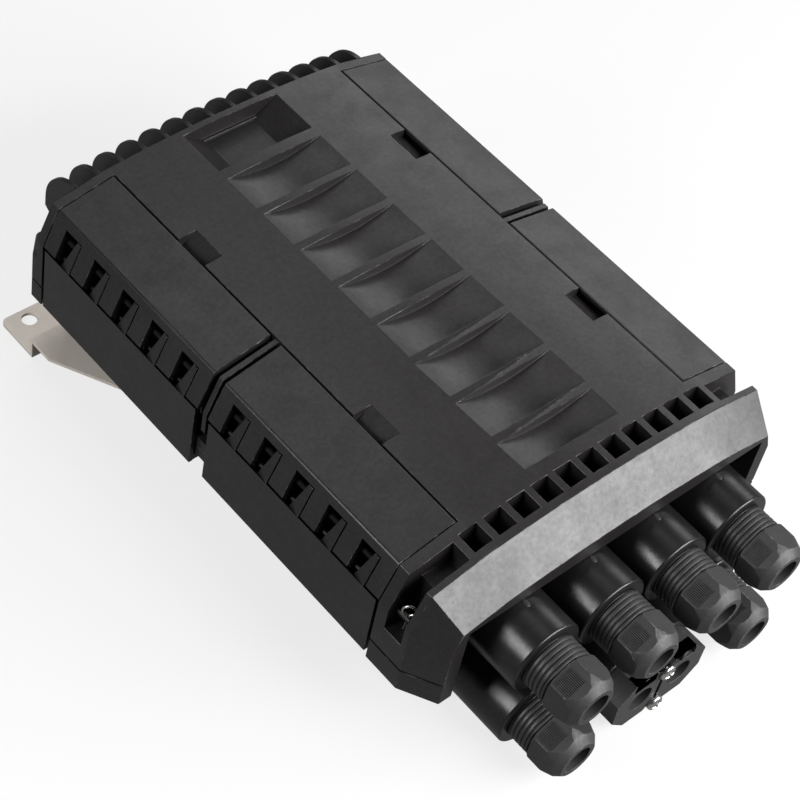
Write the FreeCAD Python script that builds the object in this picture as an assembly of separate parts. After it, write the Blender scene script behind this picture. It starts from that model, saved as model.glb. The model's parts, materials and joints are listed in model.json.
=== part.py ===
import FreeCAD, Part
import math
import os

# Fibre splice closure: two moulded shells held shut by four draw latches, cable glands at the
# near end, a folded steel wall bracket underneath and splice trays inside.
# Lengths are in millimetres. Z rises from the wall plane, X is zero on the centre plane, and Y
# runs along the closure, with 0 at the middle of the latch band and the glands towards -Y.
# The finished pieces are shifted at the end, so that the origin lies midway between the two
# bracket holes.

V = FreeCAD.Vector
BIG = 400.0
EDGE_NEAR = 0.01

# Shell outline
HALF_WIDTH = 115.6
TOP_Z = 113.0
CROWN_R = 720.0
SHOULDER_IN = 8.6
SHOULDER_DROP = 6.7
SKIRT_DROP = 28.2
SEAM_Z = 54.5
WALL = 3.0
LATCH_DEPTH = 17.1
BAND_HALF = 129.6
MID_RIB_HALF = 1.5
MID_RIB_GAP = 2.5
MID_RIB_SINK = 0.9
MID_RIB_BELOW = 10.0
MID_RIB_FOOT = 10.0
ROOF_DROP = 5.6
ROOF_IN = 17.3

# Latch sizes, shared by the levers, the links and the seats for them in the shells
LEVER_WIDTH = 41.3
LATCH_END_GAP = 0.5
LATCH_EDGE_GAP = 0.8
LEDGE_DROP = 6.5
LEDGE_FALL = 6.0
LEVER_T = 3.0
SHOULDER_ROUND = 2.0
LEVER_EDGE_ROUND = 0.7
LEVER_RIB_T = 2.0
LEVER_RIB_H = 2.2
LEVER_RIB_COUNT = 6
LINK_T = 2.6
LINK_GAP = 0.6
LINK_TOP_GAP = 0.9
LINK_FOOT = 0.5
LINK_END_GAP = 1.2
HOOK_REACH = 6.5
HOOK_T = 4.6
HOOK_GAP = 0.4
PIVOT_IN = 7.1
PIVOT_DROP = 32.0
PIVOT_R = 2.0
PIVOT_EYE_R = 4.0
LINK_PIN_IN = 2.0
LINK_PIN_RISE = 11.0
LINK_PIN_R = 1.5
LINK_EYE_R = 4.0
KNUCKLE_IN = 3.0
RUN_FIT = 0.05
PRESS_FIT = 0.02
SLOT_COUNT = 5
SLOT_PITCH = 23.4
SLOT_WIDTH = 12.9
SLOT_DROP = 11.5
ARM_GAP = 0.8
ARM_TOP_GAP = 1.2
ARM_SINK = 0.4
ARM_RAMP = 3.0
ARM_FAR_LOW = 4.4
ARM_FAR_TOP = 9.0
NOTCH_LENGTH = 20.5
NOTCH_WIDTH = 11.3

# Seam rims and their seals
COVER_RIM_T = 7.0
TUB_RIM_T = 6.0
GASKET_IN = 10.6
GASKET_W = 4.0
GASKET_H = 3.0
SEAM_GAP = 1.2
SEAM_GROOVE = 2.0

# Middle band of the cover: a shallow scoop crossed by flat-topped ribs, and a deeper pocket
SCOOP_HALF = 30.3
SCOOP_DEPTH = 5.5
SCOOP_RIB_T = 4.5
SCOOP_LAST = 18.52
SCOOP_COUNT = 8
SCOOP_FAR_IN = 34.8
SCOOP_NEAR_IN = 2.6
POCKET_OUT = 1.6
POCKET_LENGTH = 29.5
POCKET_DEPTH = 11.0
POCKET_SLOPE_IN = 15.0
POCKET_LEDGE = 1.5
POCKET_LEDGE_H = 1.6

# Far end: wall, rim and fins
FAR_PLATE_T = 5.4
FAR_RIM_OUT = 12.5
FAR_CORNER_OUT = 3.0
FAR_CORNER_IN = 8.6
FAR_RIM_H = 23.5
FAR_RIM_ROUND = 6.0
FAR_TUB_RIM_T = 12.2
FIN_COUNT = 14
FIN_PITCH = 14.2
FIN_T = 2.8
FIN_R = 24.0
FIN_FOOT = 6.0
FIN_TOP_DROP = 2.0

# Near end: plate, trough with its square holes, and the hood over the ports
NEAR_PLATE_T = 5.4
TROUGH_LENGTH = 11.5
TROUGH_DEPTH = 14.0
HOLE_COUNT = 11
HOLE_PITCH = 14.6
HOLE_RIB_T = 4.0
SILL_BELOW = 9.0
SILL_NEAR_OUT = 1.1
SILL_FAR_IN = 1.25
HOOD_RIM = 4.5
HOOD_RUN = 18.3
FACET_SLOPE = 0.796
HOOD_FRONT_IN = 10.6
HOOD_TOP_FRONT_IN = 16.8
HOOD_LIP = 7.4
MOUTH_IN = 1.5
NEAR_TUB_RIM_T = 14.0

# Tub
FLOOR_Z = 13.0
TUB_LEAN = 6.5
TUB_ROUND = 2.5
POST_R = 5.0
BOSS_R = 5.0
BOSS_H = 10.0

# Port block
PLATE_T = 4.0
PLATE_LOW_IN = 8.0
PLATE_LOW_Z = 0.9
SEAL_T = 3.0
PORT_R = 20.3
PORT_WALL = 3.0
PORT_LENGTH = 40.0
PORT_FRONT_T = 4.0
PORT_ROUND = 1.4
PORT_SIDE_GAP = 8.15
PORT_HOOD_GAP = 0.6
UPPER_PORT_COUNT = 4
UPPER_PORT_RISE = 15.5
LOWER_PORT_IN = 3.05
LOWER_PORT_RISE = 21.1
OVAL_HALF = 13.3
OVAL_R = 19.6
OVAL_LENGTH = 52.0
PORT_WEB_T = 3.0

# Cable glands
NECK_R = 14.3
NECK_CREST_R = 15.2
NECK_FIT = 0.05
NECK_INSIDE = 15.0
NECK_RIDGE_COUNT = 4
NECK_RIDGE_PITCH = 3.2
NECK_TIP_R = 11.5
NECK_TIP_LENGTH = 9.5
NECK_BORE_R = 8.4
NUT_FLATS = 28.0
NUT_TURN = 17.0
NUT_HEX_LENGTH = 14.5
NUT_CHAMFER = 1.0
NUT_CONE = 5.0
NUT_DOME_LENGTH = 4.5
NUT_DOME_R = 14.0
NUT_NOSE_R = 10.6
NUT_GAP = 0.4
CABLE_R = 7.75
GLAND_SEAL_T = 3.6
GLAND_SEAL_GAP = 0.3
GLAND_SEAL_R = 10.9
GLAND_SEAL_BORE_R = 8.0

# Split clamp on the oval port
CLAMP_FLATS = 34.0
CLAMP_T = 14.0
CLAMP_SLIT = 2.4
CLAMP_CABLE_R = 7.6
CLAMP_POCKET_W = 5.5
CLAMP_POCKET_H = 6.0
CLAMP_POCKET_DEPTH = 6.0
CLAMP_WEB_T = 3.0
CLAMP_SCREW_OUT = 13.4
CLAMP_SCREW_R = 2.0
CLAMP_HEAD_R = 4.6
CLAMP_HEAD_T = 3.4
GROMMET_T = 16.0
GROMMET_GAP = 0.3

# Wall bracket
SHEET_T = 2.0
BRACKET_OUT = 2.6
BRACKET_FAR_IN = 0.8
BRACKET_EDGE = 16.2
BRACKET_TAPER = 108.0
BRACKET_NECK_X = 60.0
BRACKET_FOOT_IN = 29.6
BRACKET_FOOT_LENGTH = 24.0
BRACKET_CUT = 22.2
EAR_WIDTH = 26.8
EAR_LENGTH = 27.3
EAR_ROUND = 4.0
EAR_HOLE_IN = 7.5
EAR_HOLE_R = 4.3
BRACKET_SCREW_X = 46.0
BRACKET_SCREW_Y = 62.0
BRACKET_SCREW_R = 2.0
BRACKET_HEAD_R = 4.0
BRACKET_HEAD_T = 2.4
SCREW_FIT = 0.05

# Split pins on the pivot rods
SPLIT_PIN_R = 0.8
SPLIT_EYE_R = 3.2
SPLIT_LEG = 8.0
ROD_END_GAP = 2.0

# Splice trays and cable anchors
BASE_RISE = 27.0
BASE_T = 2.0
BASE_SIDE_GAP = 5.0
BASE_FAR_GAP = 12.0
BASE_NEAR_IN = 63.6
BASE_ROUND = 14.0
BASE_SLOT_X = 30.0
BASE_SLOT_Y = 26.0
BASE_POST_INSET_X = 7.0
BASE_POST_INSET_Y = 18.0
TRAY_COUNT = 3
TRAY_PITCH = 12.2
TRAY_GAP = 0.4
TRAY_WALL = 1.8
TRAY_SIDE_GAP = 16.0
TRAY_END_GAP = 7.0
TRAY_ROUND = 34.0
SPOOL_END_GAP = 12.0
SPOOL_HOLDER_GAP = 3.0
SPOOL_H = 9.0
LID_T = 1.6
STUD_R = 2.5
STUD_FIT = 0.3
STUD_NUT_R = 6.0
STUD_NUT_H = 5.0
STUD_OVER = 7.0
HOLDER_X = 32.0
HOLDER_Y = 11.0
HOLDER_H = 6.5
GROOVE_COUNT = 5
GROOVE_W = 2.4
GROOVE_H = 4.0
SMALL_SCREW_R = 1.5
SMALL_HEAD_R = 3.0
SMALL_HEAD_H = 2.2
SMALL_SCREW_IN = 10.0
ANCHOR_IN = 17.6
ANCHOR_RISE = 17.0
ANCHOR_SIDE_GAP = 7.0
ANCHOR_W = 16.0
ANCHOR_POST_IN = 8.0
ANCHOR_CLAMP_COUNT = 4
ANCHOR_CLAMP_PITCH = 34.0
ANCHOR_CLAMP_W = 15.0
ANCHOR_CLAMP_H = 8.0
ANCHOR_CABLE_R = 3.5

# Places worked out from the sizes above: shells and latches
SHOULDER_X = HALF_WIDTH - SHOULDER_IN
SIDE_WALL_X = HALF_WIDTH - LATCH_DEPTH
LATCH_X = HALF_WIDTH - LEVER_WIDTH
INNER_X = SIDE_WALL_X - WALL
ROOF_X = LATCH_X - ROOF_IN
RIM_X = HALF_WIDTH - LINK_T - LINK_GAP
GASKET_X = HALF_WIDTH - GASKET_IN
MOUTH_X = SIDE_WALL_X - MOUTH_IN
CROWN_RISE = CROWN_R - math.sqrt(CROWN_R ** 2 - LATCH_X ** 2)
SHOULDER_Z = TOP_Z - SHOULDER_DROP
SKIRT_Z = TOP_Z - SKIRT_DROP
LATCH_Y0 = MID_RIB_HALF + MID_RIB_GAP
LATCH_Y1 = BAND_HALF - LATCH_END_GAP
LATCH_LENGTH = LATCH_Y1 - LATCH_Y0
LATCH_MID_Y = (LATCH_Y0 + LATCH_Y1) / 2
PIVOT_X = HALF_WIDTH - PIVOT_IN
PIVOT_Z = TOP_Z - PIVOT_DROP
LINK_PIN_X = PIVOT_X - LINK_PIN_IN
LINK_PIN_Z = PIVOT_Z + LINK_PIN_RISE
FAR_WALL_Y = BAND_HALF + FAR_PLATE_T
FAR_RIM_Y = FAR_WALL_Y + FAR_RIM_OUT
FAR_RIM_TOP = SEAM_Z + FAR_RIM_H
NEAR_PLATE_Y = -BAND_HALF - NEAR_PLATE_T
HOOD_Y = NEAR_PLATE_Y - TROUGH_LENGTH
HOOD_EDGE_Y = HOOD_Y - HOOD_RIM
HOOD_FRONT_Y = HOOD_EDGE_Y - HOOD_RUN
FACET_FALL = HOOD_RUN * FACET_SLOPE
TROUGH_Z = TOP_Z - TROUGH_DEPTH
SCOOP_FAR_Y = BAND_HALF - SCOOP_FAR_IN
SCOOP_NEAR_Y = -BAND_HALF + SCOOP_NEAR_IN
SCOOP_PITCH = (SCOOP_FAR_Y - SCOOP_NEAR_Y - SCOOP_LAST) / (SCOOP_COUNT - 1)
POCKET_Y1 = BAND_HALF + POCKET_OUT
POCKET_Y0 = POCKET_Y1 - POCKET_LENGTH
POCKET_FLOOR_Z = TOP_Z + CROWN_RISE - POCKET_DEPTH
FLOOR_X = SIDE_WALL_X - TUB_LEAN
ROD_END_Y = HOOD_Y + ROD_END_GAP
SPLIT_PIN_Y = ROD_END_Y + PIVOT_R

# Places at the ports and glands
PORT_ROOF_Z = TROUGH_Z - WALL
PLATE_X = INNER_X - SEAL_T
PLATE_Y = HOOD_EDGE_Y
PLATE_BACK_Y = PLATE_Y + PLATE_T
PLATE_TOP_Z = PORT_ROOF_Z - SEAL_T
PORT_FRONT_Y = PLATE_Y - PORT_LENGTH
OVAL_FRONT_Y = PLATE_Y - OVAL_LENGTH
OUTER_PORT_X = PLATE_X - PORT_SIDE_GAP - PORT_R
UPPER_PORT_PITCH = 2 * OUTER_PORT_X / (UPPER_PORT_COUNT - 1)
UPPER_PORT_Z = SEAM_Z + UPPER_PORT_RISE
LOWER_PORT_X = OUTER_PORT_X - LOWER_PORT_IN
LOWER_PORT_Z = PLATE_LOW_Z + LOWER_PORT_RISE
NECK_END_Y = PORT_FRONT_Y - NECK_RIDGE_COUNT * NECK_RIDGE_PITCH
NUT_BACK_Y = NECK_END_Y - NUT_GAP
NUT_DOME_Y = NUT_BACK_Y - NUT_HEX_LENGTH
NUT_FRONT_Y = NUT_DOME_Y - NUT_DOME_LENGTH
NECK_TIP_Y = NECK_END_Y - NECK_TIP_LENGTH
GLAND_SEAL_Y = NECK_TIP_Y - GLAND_SEAL_T - GLAND_SEAL_GAP
CLAMP_FRONT_Y = OVAL_FRONT_Y - CLAMP_T

# Places of the bracket, trays and anchors
WEB_Z = FLOOR_Z - SHEET_T
BRACKET_X = HALF_WIDTH + BRACKET_OUT
BRACKET_FAR_Y = FAR_WALL_Y - BRACKET_FAR_IN
BRACKET_FOOT_Y = -BAND_HALF + BRACKET_FOOT_IN
EAR_X = BRACKET_X - EAR_WIDTH
EAR_TIP_Y = BRACKET_FAR_Y + EAR_LENGTH
EAR_HOLE_Y = EAR_TIP_Y - EAR_HOLE_IN
BASE_Z = FLOOR_Z + BASE_RISE
BASE_X = FLOOR_X - WALL - BASE_SIDE_GAP
BASE_Y0 = -BAND_HALF + BASE_NEAR_IN
BASE_Y1 = FAR_WALL_Y - WALL - BASE_FAR_GAP
TRAY_X = BASE_X - TRAY_SIDE_GAP
TRAY_Y = (BASE_Y1 - BASE_Y0) / 2 - TRAY_END_GAP
TRAY_MID_Y = (BASE_Y0 + BASE_Y1) / 2
TRAY_Z = BASE_Z + BASE_T
TRAY_H = TRAY_PITCH - TRAY_GAP
SPOOL_R = (TRAY_Y - SPOOL_END_GAP - SPOOL_HOLDER_GAP - HOLDER_Y) / 2
SPOOL_OFFSET = TRAY_Y - SPOOL_R - SPOOL_END_GAP
LID_Z = TRAY_Z + TRAY_COUNT * TRAY_PITCH
ANCHOR_Z = FLOOR_Z + ANCHOR_RISE
ANCHOR_X = FLOOR_X - WALL - ANCHOR_SIDE_GAP
ANCHOR_Y = -BAND_HALF + ANCHOR_IN
ANCHOR_POST_X = ANCHOR_X - ANCHOR_POST_IN


# Shape helpers
def box(x0, x1, y0, y1, z0, z1):
    return Part.makeBox(x1 - x0, y1 - y0, z1 - z0, V(x0, y0, z0))


def prism(points, sweep):
    corners = [V(*point) for point in points]
    return Part.Face(Part.makePolygon(corners + corners[:1])).extrude(V(*sweep))


def slab_x(outline, x0, x1):
    return prism([(x0, y, z) for y, z in outline], (x1 - x0, 0, 0))


def slab_y(outline, y0, y1):
    return prism([(x, y0, z) for x, z in outline], (0, y1 - y0, 0))


def slab_z(outline, z0, z1):
    return prism([(x, y, z0) for x, y in outline], (0, 0, z1 - z0))


def rod_x(y, z, r, x0, x1):
    return Part.makeCylinder(r, x1 - x0, V(x0, y, z), V(1, 0, 0))


def rod_y(x, z, r, y0, y1):
    return Part.makeCylinder(r, y1 - y0, V(x, y0, z), V(0, 1, 0))


def rod_z(x, y, r, z0, z1):
    return Part.makeCylinder(r, z1 - z0, V(x, y, z0), V(0, 0, 1))


def both_sides(half):
    """Complete an outline whose right half runs from the top to the bottom."""
    return half + [(-x, other) for x, other in reversed(half)]


def mirrored(shape):
    return shape.mirror(V(0, 0, 0), V(1, 0, 0))


def pair(shape):
    """A shape on the right and its copy on the left."""
    return [shape, mirrored(shape)]


def join(shapes):
    return shapes[0].multiFuse(shapes[1:]).removeSplitter()


def carve(shape, tools):
    return shape.cut(tools).removeSplitter()


def turned_y(profile, x, z):
    """Revolve a profile of (radius, y) points about a line along Y."""
    points = [(x + radius, y, z) for radius, y in profile]
    corners = [V(*point) for point in points]
    face = Part.Face(Part.makePolygon(corners + corners[:1]))
    return face.revolve(V(x, 0, z), V(0, 1, 0), 360)


def soften(shape, radius, x, z):
    """Round the long edges that run along Y at one place in the section."""
    edges = [e for e in shape.Edges if all(math.hypot(v.X - x, v.Z - z) < EDGE_NEAR for v in e.Vertexes)]
    return shape.makeFillet(radius, edges)


def rounded_plate(x0, x1, y0, y1, z0, z1, radius):
    plate = box(x0, x1, y0, y1, z0, z1)
    upright = [edge for edge in plate.Edges if abs(edge.Vertexes[0].Z - edge.Vertexes[1].Z) > 0]
    return plate.makeFillet(radius, upright)


def half_space(a, b, c, depth):
    """A thick slab whose one face holds three points, on the side that their turn faces."""
    origin = V(*a)
    along = (V(*b) - origin).normalize()
    normal = along.cross(V(*c) - origin).normalize()
    across = normal.cross(along)
    signs = [(-1, -1), (1, -1), (1, 1), (-1, 1)]
    corners = [origin + along * (BIG * p) + across * (BIG * q) for p, q in signs]
    return Part.Face(Part.makePolygon(corners + corners[:1])).extrude(normal * depth)


def crown_z(x):
    """Height of the arched top at a distance from the centre plane."""
    return TOP_Z + CROWN_RISE - CROWN_R + math.sqrt(CROWN_R ** 2 - x ** 2)


def arched_face(y, half, edge_x):
    """A face across the closure with the arched top, from a half outline under the arch's end."""
    right = [V(edge_x, y, crown_z(edge_x))] + [V(x, y, z) for x, z in half]
    left = [V(-point.x, y, point.z) for point in right]
    arc = Part.Arc(left[0], V(0, y, crown_z(0)), right[0]).toShape()
    edges = [arc]
    path = right + left[::-1]
    for start, end in zip(path, path[1:]):
        edges.append(Part.LineSegment(start, end).toShape())
    return Part.Face(Part.Wire(edges))


def skirt_prism(y0, sweep):
    """The full outline over cover and latches, swept from a plane across the closure."""
    half = [(SHOULDER_X, SHOULDER_Z), (HALF_WIDTH, SKIRT_Z), (HALF_WIDTH, SEAM_Z)]
    return arched_face(y0, half, LATCH_X).extrude(V(*sweep))


def far_plan():
    return both_sides([
        (HALF_WIDTH, BAND_HALF),
        (HALF_WIDTH, FAR_WALL_Y + FAR_CORNER_OUT),
        (HALF_WIDTH - FAR_CORNER_IN, FAR_RIM_Y),
    ])


def near_plan():
    return both_sides([
        (HALF_WIDTH, -BAND_HALF),
        (HALF_WIDTH, HOOD_EDGE_Y),
        (HALF_WIDTH - HOOD_FRONT_IN, HOOD_FRONT_Y),
    ])


def port_places():
    """Centres of the round ports, upper row first."""
    upper = [(x, UPPER_PORT_Z) for x in spaced(UPPER_PORT_COUNT, UPPER_PORT_PITCH)]
    return upper + [(-LOWER_PORT_X, LOWER_PORT_Z), (LOWER_PORT_X, LOWER_PORT_Z)]


def spaced(count, pitch):
    """Offsets of evenly spaced things about a middle."""
    return [(i - (count - 1) / 2) * pitch for i in range(count)]


# Upper shell
def cover_body():
    ledge_x = LATCH_X - LATCH_EDGE_GAP
    half = [
        (ledge_x, TOP_Z - LEDGE_DROP),
        (SIDE_WALL_X, TOP_Z - LEDGE_DROP - LEDGE_FALL),
        (SIDE_WALL_X, SEAM_Z + COVER_RIM_T),
        (RIM_X, SEAM_Z + COVER_RIM_T),
        (RIM_X, SEAM_Z),
    ]
    return arched_face(-BAND_HALF, half, ledge_x).extrude(V(0, 2 * BAND_HALF, 0))


def mid_rib():
    half = [
        (LATCH_X - WALL, TOP_Z - MID_RIB_SINK),
        (SHOULDER_X - MID_RIB_SINK, SHOULDER_Z - MID_RIB_SINK),
        (HALF_WIDTH - 2 * MID_RIB_SINK, SKIRT_Z),
        (HALF_WIDTH - 2 * MID_RIB_SINK, PIVOT_Z - MID_RIB_BELOW),
        (SIDE_WALL_X - WALL / 2, PIVOT_Z - MID_RIB_BELOW - MID_RIB_FOOT),
    ]
    return slab_y(both_sides(half), -MID_RIB_HALF, MID_RIB_HALF)


def far_rim():
    rim = slab_z(far_plan(), SEAM_Z, FAR_RIM_TOP)
    outer = [e for e in rim.Edges if min(v.Z for v in e.Vertexes) > SEAM_Z and e.CenterOfMass.y > BAND_HALF]
    return rim.makeFillet(FAR_RIM_ROUND, outer)


def fins():
    """Upright fins on the far wall, each with a rounded outer corner under the arched top."""
    shapes = []
    for x in spaced(FIN_COUNT, FIN_PITCH):
        top = crown_z(x) - FIN_TOP_DROP
        centre = V(x, FAR_WALL_Y, top - FIN_R)
        start = V(x, FAR_WALL_Y, top)
        end = V(x, FAR_WALL_Y + FIN_R, top - FIN_R)
        turn = math.sqrt(0.5)
        middle = centre + V(0, FIN_R * turn, FIN_R * turn)
        foot = FAR_RIM_TOP - FAR_RIM_ROUND - FIN_FOOT
        tip = V(x, FAR_WALL_Y + FIN_R, FAR_RIM_TOP)
        low_out = V(x, FAR_RIM_Y - FAR_RIM_ROUND, foot)
        low_in = V(x, FAR_WALL_Y - WALL / 2, foot)
        high_in = V(x, FAR_WALL_Y - WALL / 2, top)
        edges = [Part.Arc(start, middle, end).toShape()]
        path = [end, tip, low_out, low_in, high_in, start]
        for a, b in zip(path, path[1:]):
            edges.append(Part.LineSegment(a, b).toShape())
        fin = Part.Face(Part.Wire(edges)).extrude(V(FIN_T, 0, 0))
        shapes.append(fin.translated(V(-FIN_T / 2, 0, 0)))
    return shapes


def hood():
    """Near end above the seam: plate, trough block and the sloping hood with its drawn-in corners."""
    block = skirt_prism(HOOD_EDGE_Y, (0, -BAND_HALF - HOOD_EDGE_Y, 0))
    facet = skirt_prism(HOOD_EDGE_Y, (0, -HOOD_RUN, -FACET_FALL))
    facet = facet.cut(box(-BIG, BIG, -BIG, BIG, -BIG, SEAM_Z))
    side_low = (HALF_WIDTH, HOOD_EDGE_Y, SEAM_Z)
    skirt = (HALF_WIDTH, HOOD_EDGE_Y, SKIRT_Z)
    shoulder = (SHOULDER_X, HOOD_EDGE_Y, SHOULDER_Z)
    front_low = (HALF_WIDTH - HOOD_FRONT_IN, HOOD_FRONT_Y, SEAM_Z)
    front_high = (HALF_WIDTH - HOOD_TOP_FRONT_IN, HOOD_FRONT_Y, TOP_Z - FACET_FALL)
    cheek = half_space(side_low, skirt, front_low, BIG)
    corner = half_space(skirt, shoulder, front_high, BIG)
    return carve(join([block, facet]), pair(cheek) + pair(corner))


def cover_hollows():
    """Everything taken out of the cover from below and from the mouth."""
    roof_z = TOP_Z - ROOF_DROP
    ledge = [
        (LATCH_X - LATCH_EDGE_GAP - WALL, TOP_Z - LEDGE_DROP - WALL),
        (INNER_X, TOP_Z - LEDGE_DROP - LEDGE_FALL - WALL),
        (INNER_X, SEAM_Z - 1),
    ]
    step_z = TOP_Z - LEDGE_DROP - WALL
    roof = [(ROOF_X, roof_z), (ROOF_X + WALL, step_z)]
    main = slab_y(both_sides(roof + ledge), -BAND_HALF, POCKET_Y0 - WALL)
    under_pocket = slab_y(
        both_sides([(ROOF_X, POCKET_FLOOR_Z - WALL)] + ledge[1:]), POCKET_Y0 - WALL - 1, FAR_WALL_Y - WALL)
    near = box(-INNER_X, INNER_X, PLATE_Y - 1, -BAND_HALF + 1, SEAM_Z - 1, PORT_ROOF_Z)
    lip_z = TOP_Z - FACET_FALL - HOOD_LIP
    deep = SHOULDER_DROP + WALL
    inside_y = HOOD_Y - WALL
    under_facet = [
        (PLATE_Y, SEAM_Z - 1),
        (PLATE_Y, PORT_ROOF_Z),
        (inside_y, PORT_ROOF_Z),
        (inside_y, TOP_Z - deep),
        (HOOD_EDGE_Y, TOP_Z - deep),
        (HOOD_EDGE_Y - (lip_z - TOP_Z + deep) / -FACET_SLOPE, lip_z),
        (HOOD_FRONT_Y - 1, lip_z),
        (HOOD_FRONT_Y - 1, SEAM_Z - 1),
    ]
    mouth = slab_x(under_facet, -MOUTH_X, MOUTH_X)
    ways = [rod_y(x, z, PORT_R + PORT_HOOD_GAP, HOOD_FRONT_Y - 1, PLATE_Y) for x, z in port_places()]
    return [main, under_pocket, near, mouth] + ways


def trough_openings():
    """The row of square holes, and the open end of the trough on each side."""
    hole_x = HOLE_PITCH - HOLE_RIB_T
    holes = [
        box(x - hole_x / 2, x + hole_x / 2, HOOD_Y, NEAR_PLATE_Y, TROUGH_Z, TOP_Z + CROWN_RISE + 1)
        for x in spaced(HOLE_COUNT, HOLE_PITCH)
    ]
    inner = HOLE_COUNT * HOLE_PITCH / 2 + HOLE_RIB_T / 2
    y0 = HOOD_Y - SILL_NEAR_OUT
    y1 = NEAR_PLATE_Y - SILL_FAR_IN
    shelf = box(inner, HALF_WIDTH + 1, y0, y1, TROUGH_Z, TOP_Z + 1)
    sill = box(SIDE_WALL_X, HALF_WIDTH + 1, y0, y1, PIVOT_Z - SILL_BELOW, TROUGH_Z)
    return holes + pair(shelf) + pair(sill)


def scoop_cells():
    """Lengths of one broad hollow cylinder, left uncut where the cross ribs stand."""
    edge_z = crown_z(SCOOP_HALF)
    radius = (SCOOP_HALF ** 2 + SCOOP_DEPTH ** 2) / (2 * SCOOP_DEPTH)
    axis_z = edge_z - SCOOP_DEPTH + radius
    cells = []
    for i in range(SCOOP_COUNT):
        far = SCOOP_FAR_Y - i * SCOOP_PITCH
        near = far - SCOOP_PITCH + SCOOP_RIB_T
        if i == SCOOP_COUNT - 1:
            near = SCOOP_NEAR_Y
        cells.append(rod_y(0, axis_z, radius, near, far))
    return cells


def pocket():
    """Hollow with sloping sides and a low ledge along its far end."""
    half = [
        (SCOOP_HALF, TOP_Z + CROWN_RISE + 1),
        (SCOOP_HALF, crown_z(SCOOP_HALF)),
        (SCOOP_HALF - POCKET_SLOPE_IN, POCKET_FLOOR_Z),
    ]
    ledge = box(-SCOOP_HALF, SCOOP_HALF, POCKET_Y1 - POCKET_LEDGE, POCKET_Y1,
                POCKET_FLOOR_Z, POCKET_FLOOR_Z + POCKET_LEDGE_H)
    return slab_y(both_sides(half), POCKET_Y0, POCKET_Y1).cut(ledge)


def seam_grooves():
    """Shadow gaps along both sides of the two ends, just above the seam."""
    shapes = []
    for plan in (far_plan(), near_plan()):
        inset = [(x - math.copysign(SEAM_GROOVE, x), y) for x, y in plan]
        whole = slab_z(plan, SEAM_Z, SEAM_Z + SEAM_GAP)
        shapes.append(whole.cut(slab_z(inset, SEAM_Z, SEAM_Z + SEAM_GAP)))
    return shapes


def pry_notches():
    """Ramps that run down to the inner edges of the levers, for a finger or a blade."""
    inner = LATCH_X - NOTCH_WIDTH
    over = TOP_Z + CROWN_RISE
    ramp = [(inner, crown_z(inner)), (LATCH_X, TOP_Z - LEDGE_DROP), (LATCH_X, over), (inner, over)]
    shapes = []
    for y in (LATCH_MID_Y, -LATCH_MID_Y):
        shapes += pair(slab_y(ramp, y - NOTCH_LENGTH / 2, y + NOTCH_LENGTH / 2))
    return shapes


def make_upper_shell():
    far_plate = skirt_prism(BAND_HALF, (0, FAR_WALL_Y - BAND_HALF, 0))
    shell = join([cover_body(), far_plate, mid_rib(), far_rim(), hood()] + fins())
    pivot_holes = pair(rod_y(PIVOT_X, PIVOT_Z, PIVOT_R + RUN_FIT, HOOD_Y, FAR_WALL_Y))
    shell = carve(shell, cover_hollows())
    shell = carve(shell, trough_openings())
    shell = carve(shell, scoop_cells() + [pocket()] + pry_notches())
    return carve(shell, pivot_holes + seam_grooves())


# Lower shell
def oval_prism(radius, y0, y1):
    ends = [rod_y(x, LOWER_PORT_Z, radius, y0, y1) for x in (-OVAL_HALF, OVAL_HALF)]
    middle = box(-OVAL_HALF, OVAL_HALF, y0, y1, LOWER_PORT_Z - radius, LOWER_PORT_Z + radius)
    return join(ends + [middle])


def tub_side(offset, z0, z1):
    """Half outline of the tapered tub, moved in by an offset."""
    lean = (SIDE_WALL_X - FLOOR_X) / (SEAM_Z - FLOOR_Z)
    return [(FLOOR_X + lean * (z - FLOOR_Z) - offset, z) for z in (z1, z0)]


def base_post_places():
    x = BASE_X - BASE_POST_INSET_X
    ends = (BASE_Y0 + BASE_POST_INSET_Y, BASE_Y1 - BASE_POST_INSET_Y)
    return [(sx * x, y) for sx in (-1, 1) for y in ends]


def bracket_screw_places():
    return [(sx * BRACKET_SCREW_X, sy * BRACKET_SCREW_Y) for sx in (-1, 1) for sy in (-1, 1)]


def seam_ring():
    """The seal's loop along the seam, open at the near end where the port plate stands."""
    half = GASKET_W / 2
    far_y = (FAR_WALL_Y + FAR_RIM_Y) / 2
    near_y = (PLATE_Y + PLATE_BACK_Y) / 2
    z0 = SEAM_Z - GASKET_H
    outer = box(-GASKET_X - half, GASKET_X + half, near_y - half, far_y + half, z0, SEAM_Z)
    inner = box(-GASKET_X + half, GASKET_X - half, near_y + half, far_y - half, z0, SEAM_Z)
    gate = box(-MOUTH_X, MOUTH_X, near_y - 2 * half, near_y + 2 * half, z0, SEAM_Z)
    return carve(outer, [inner, gate])


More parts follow.
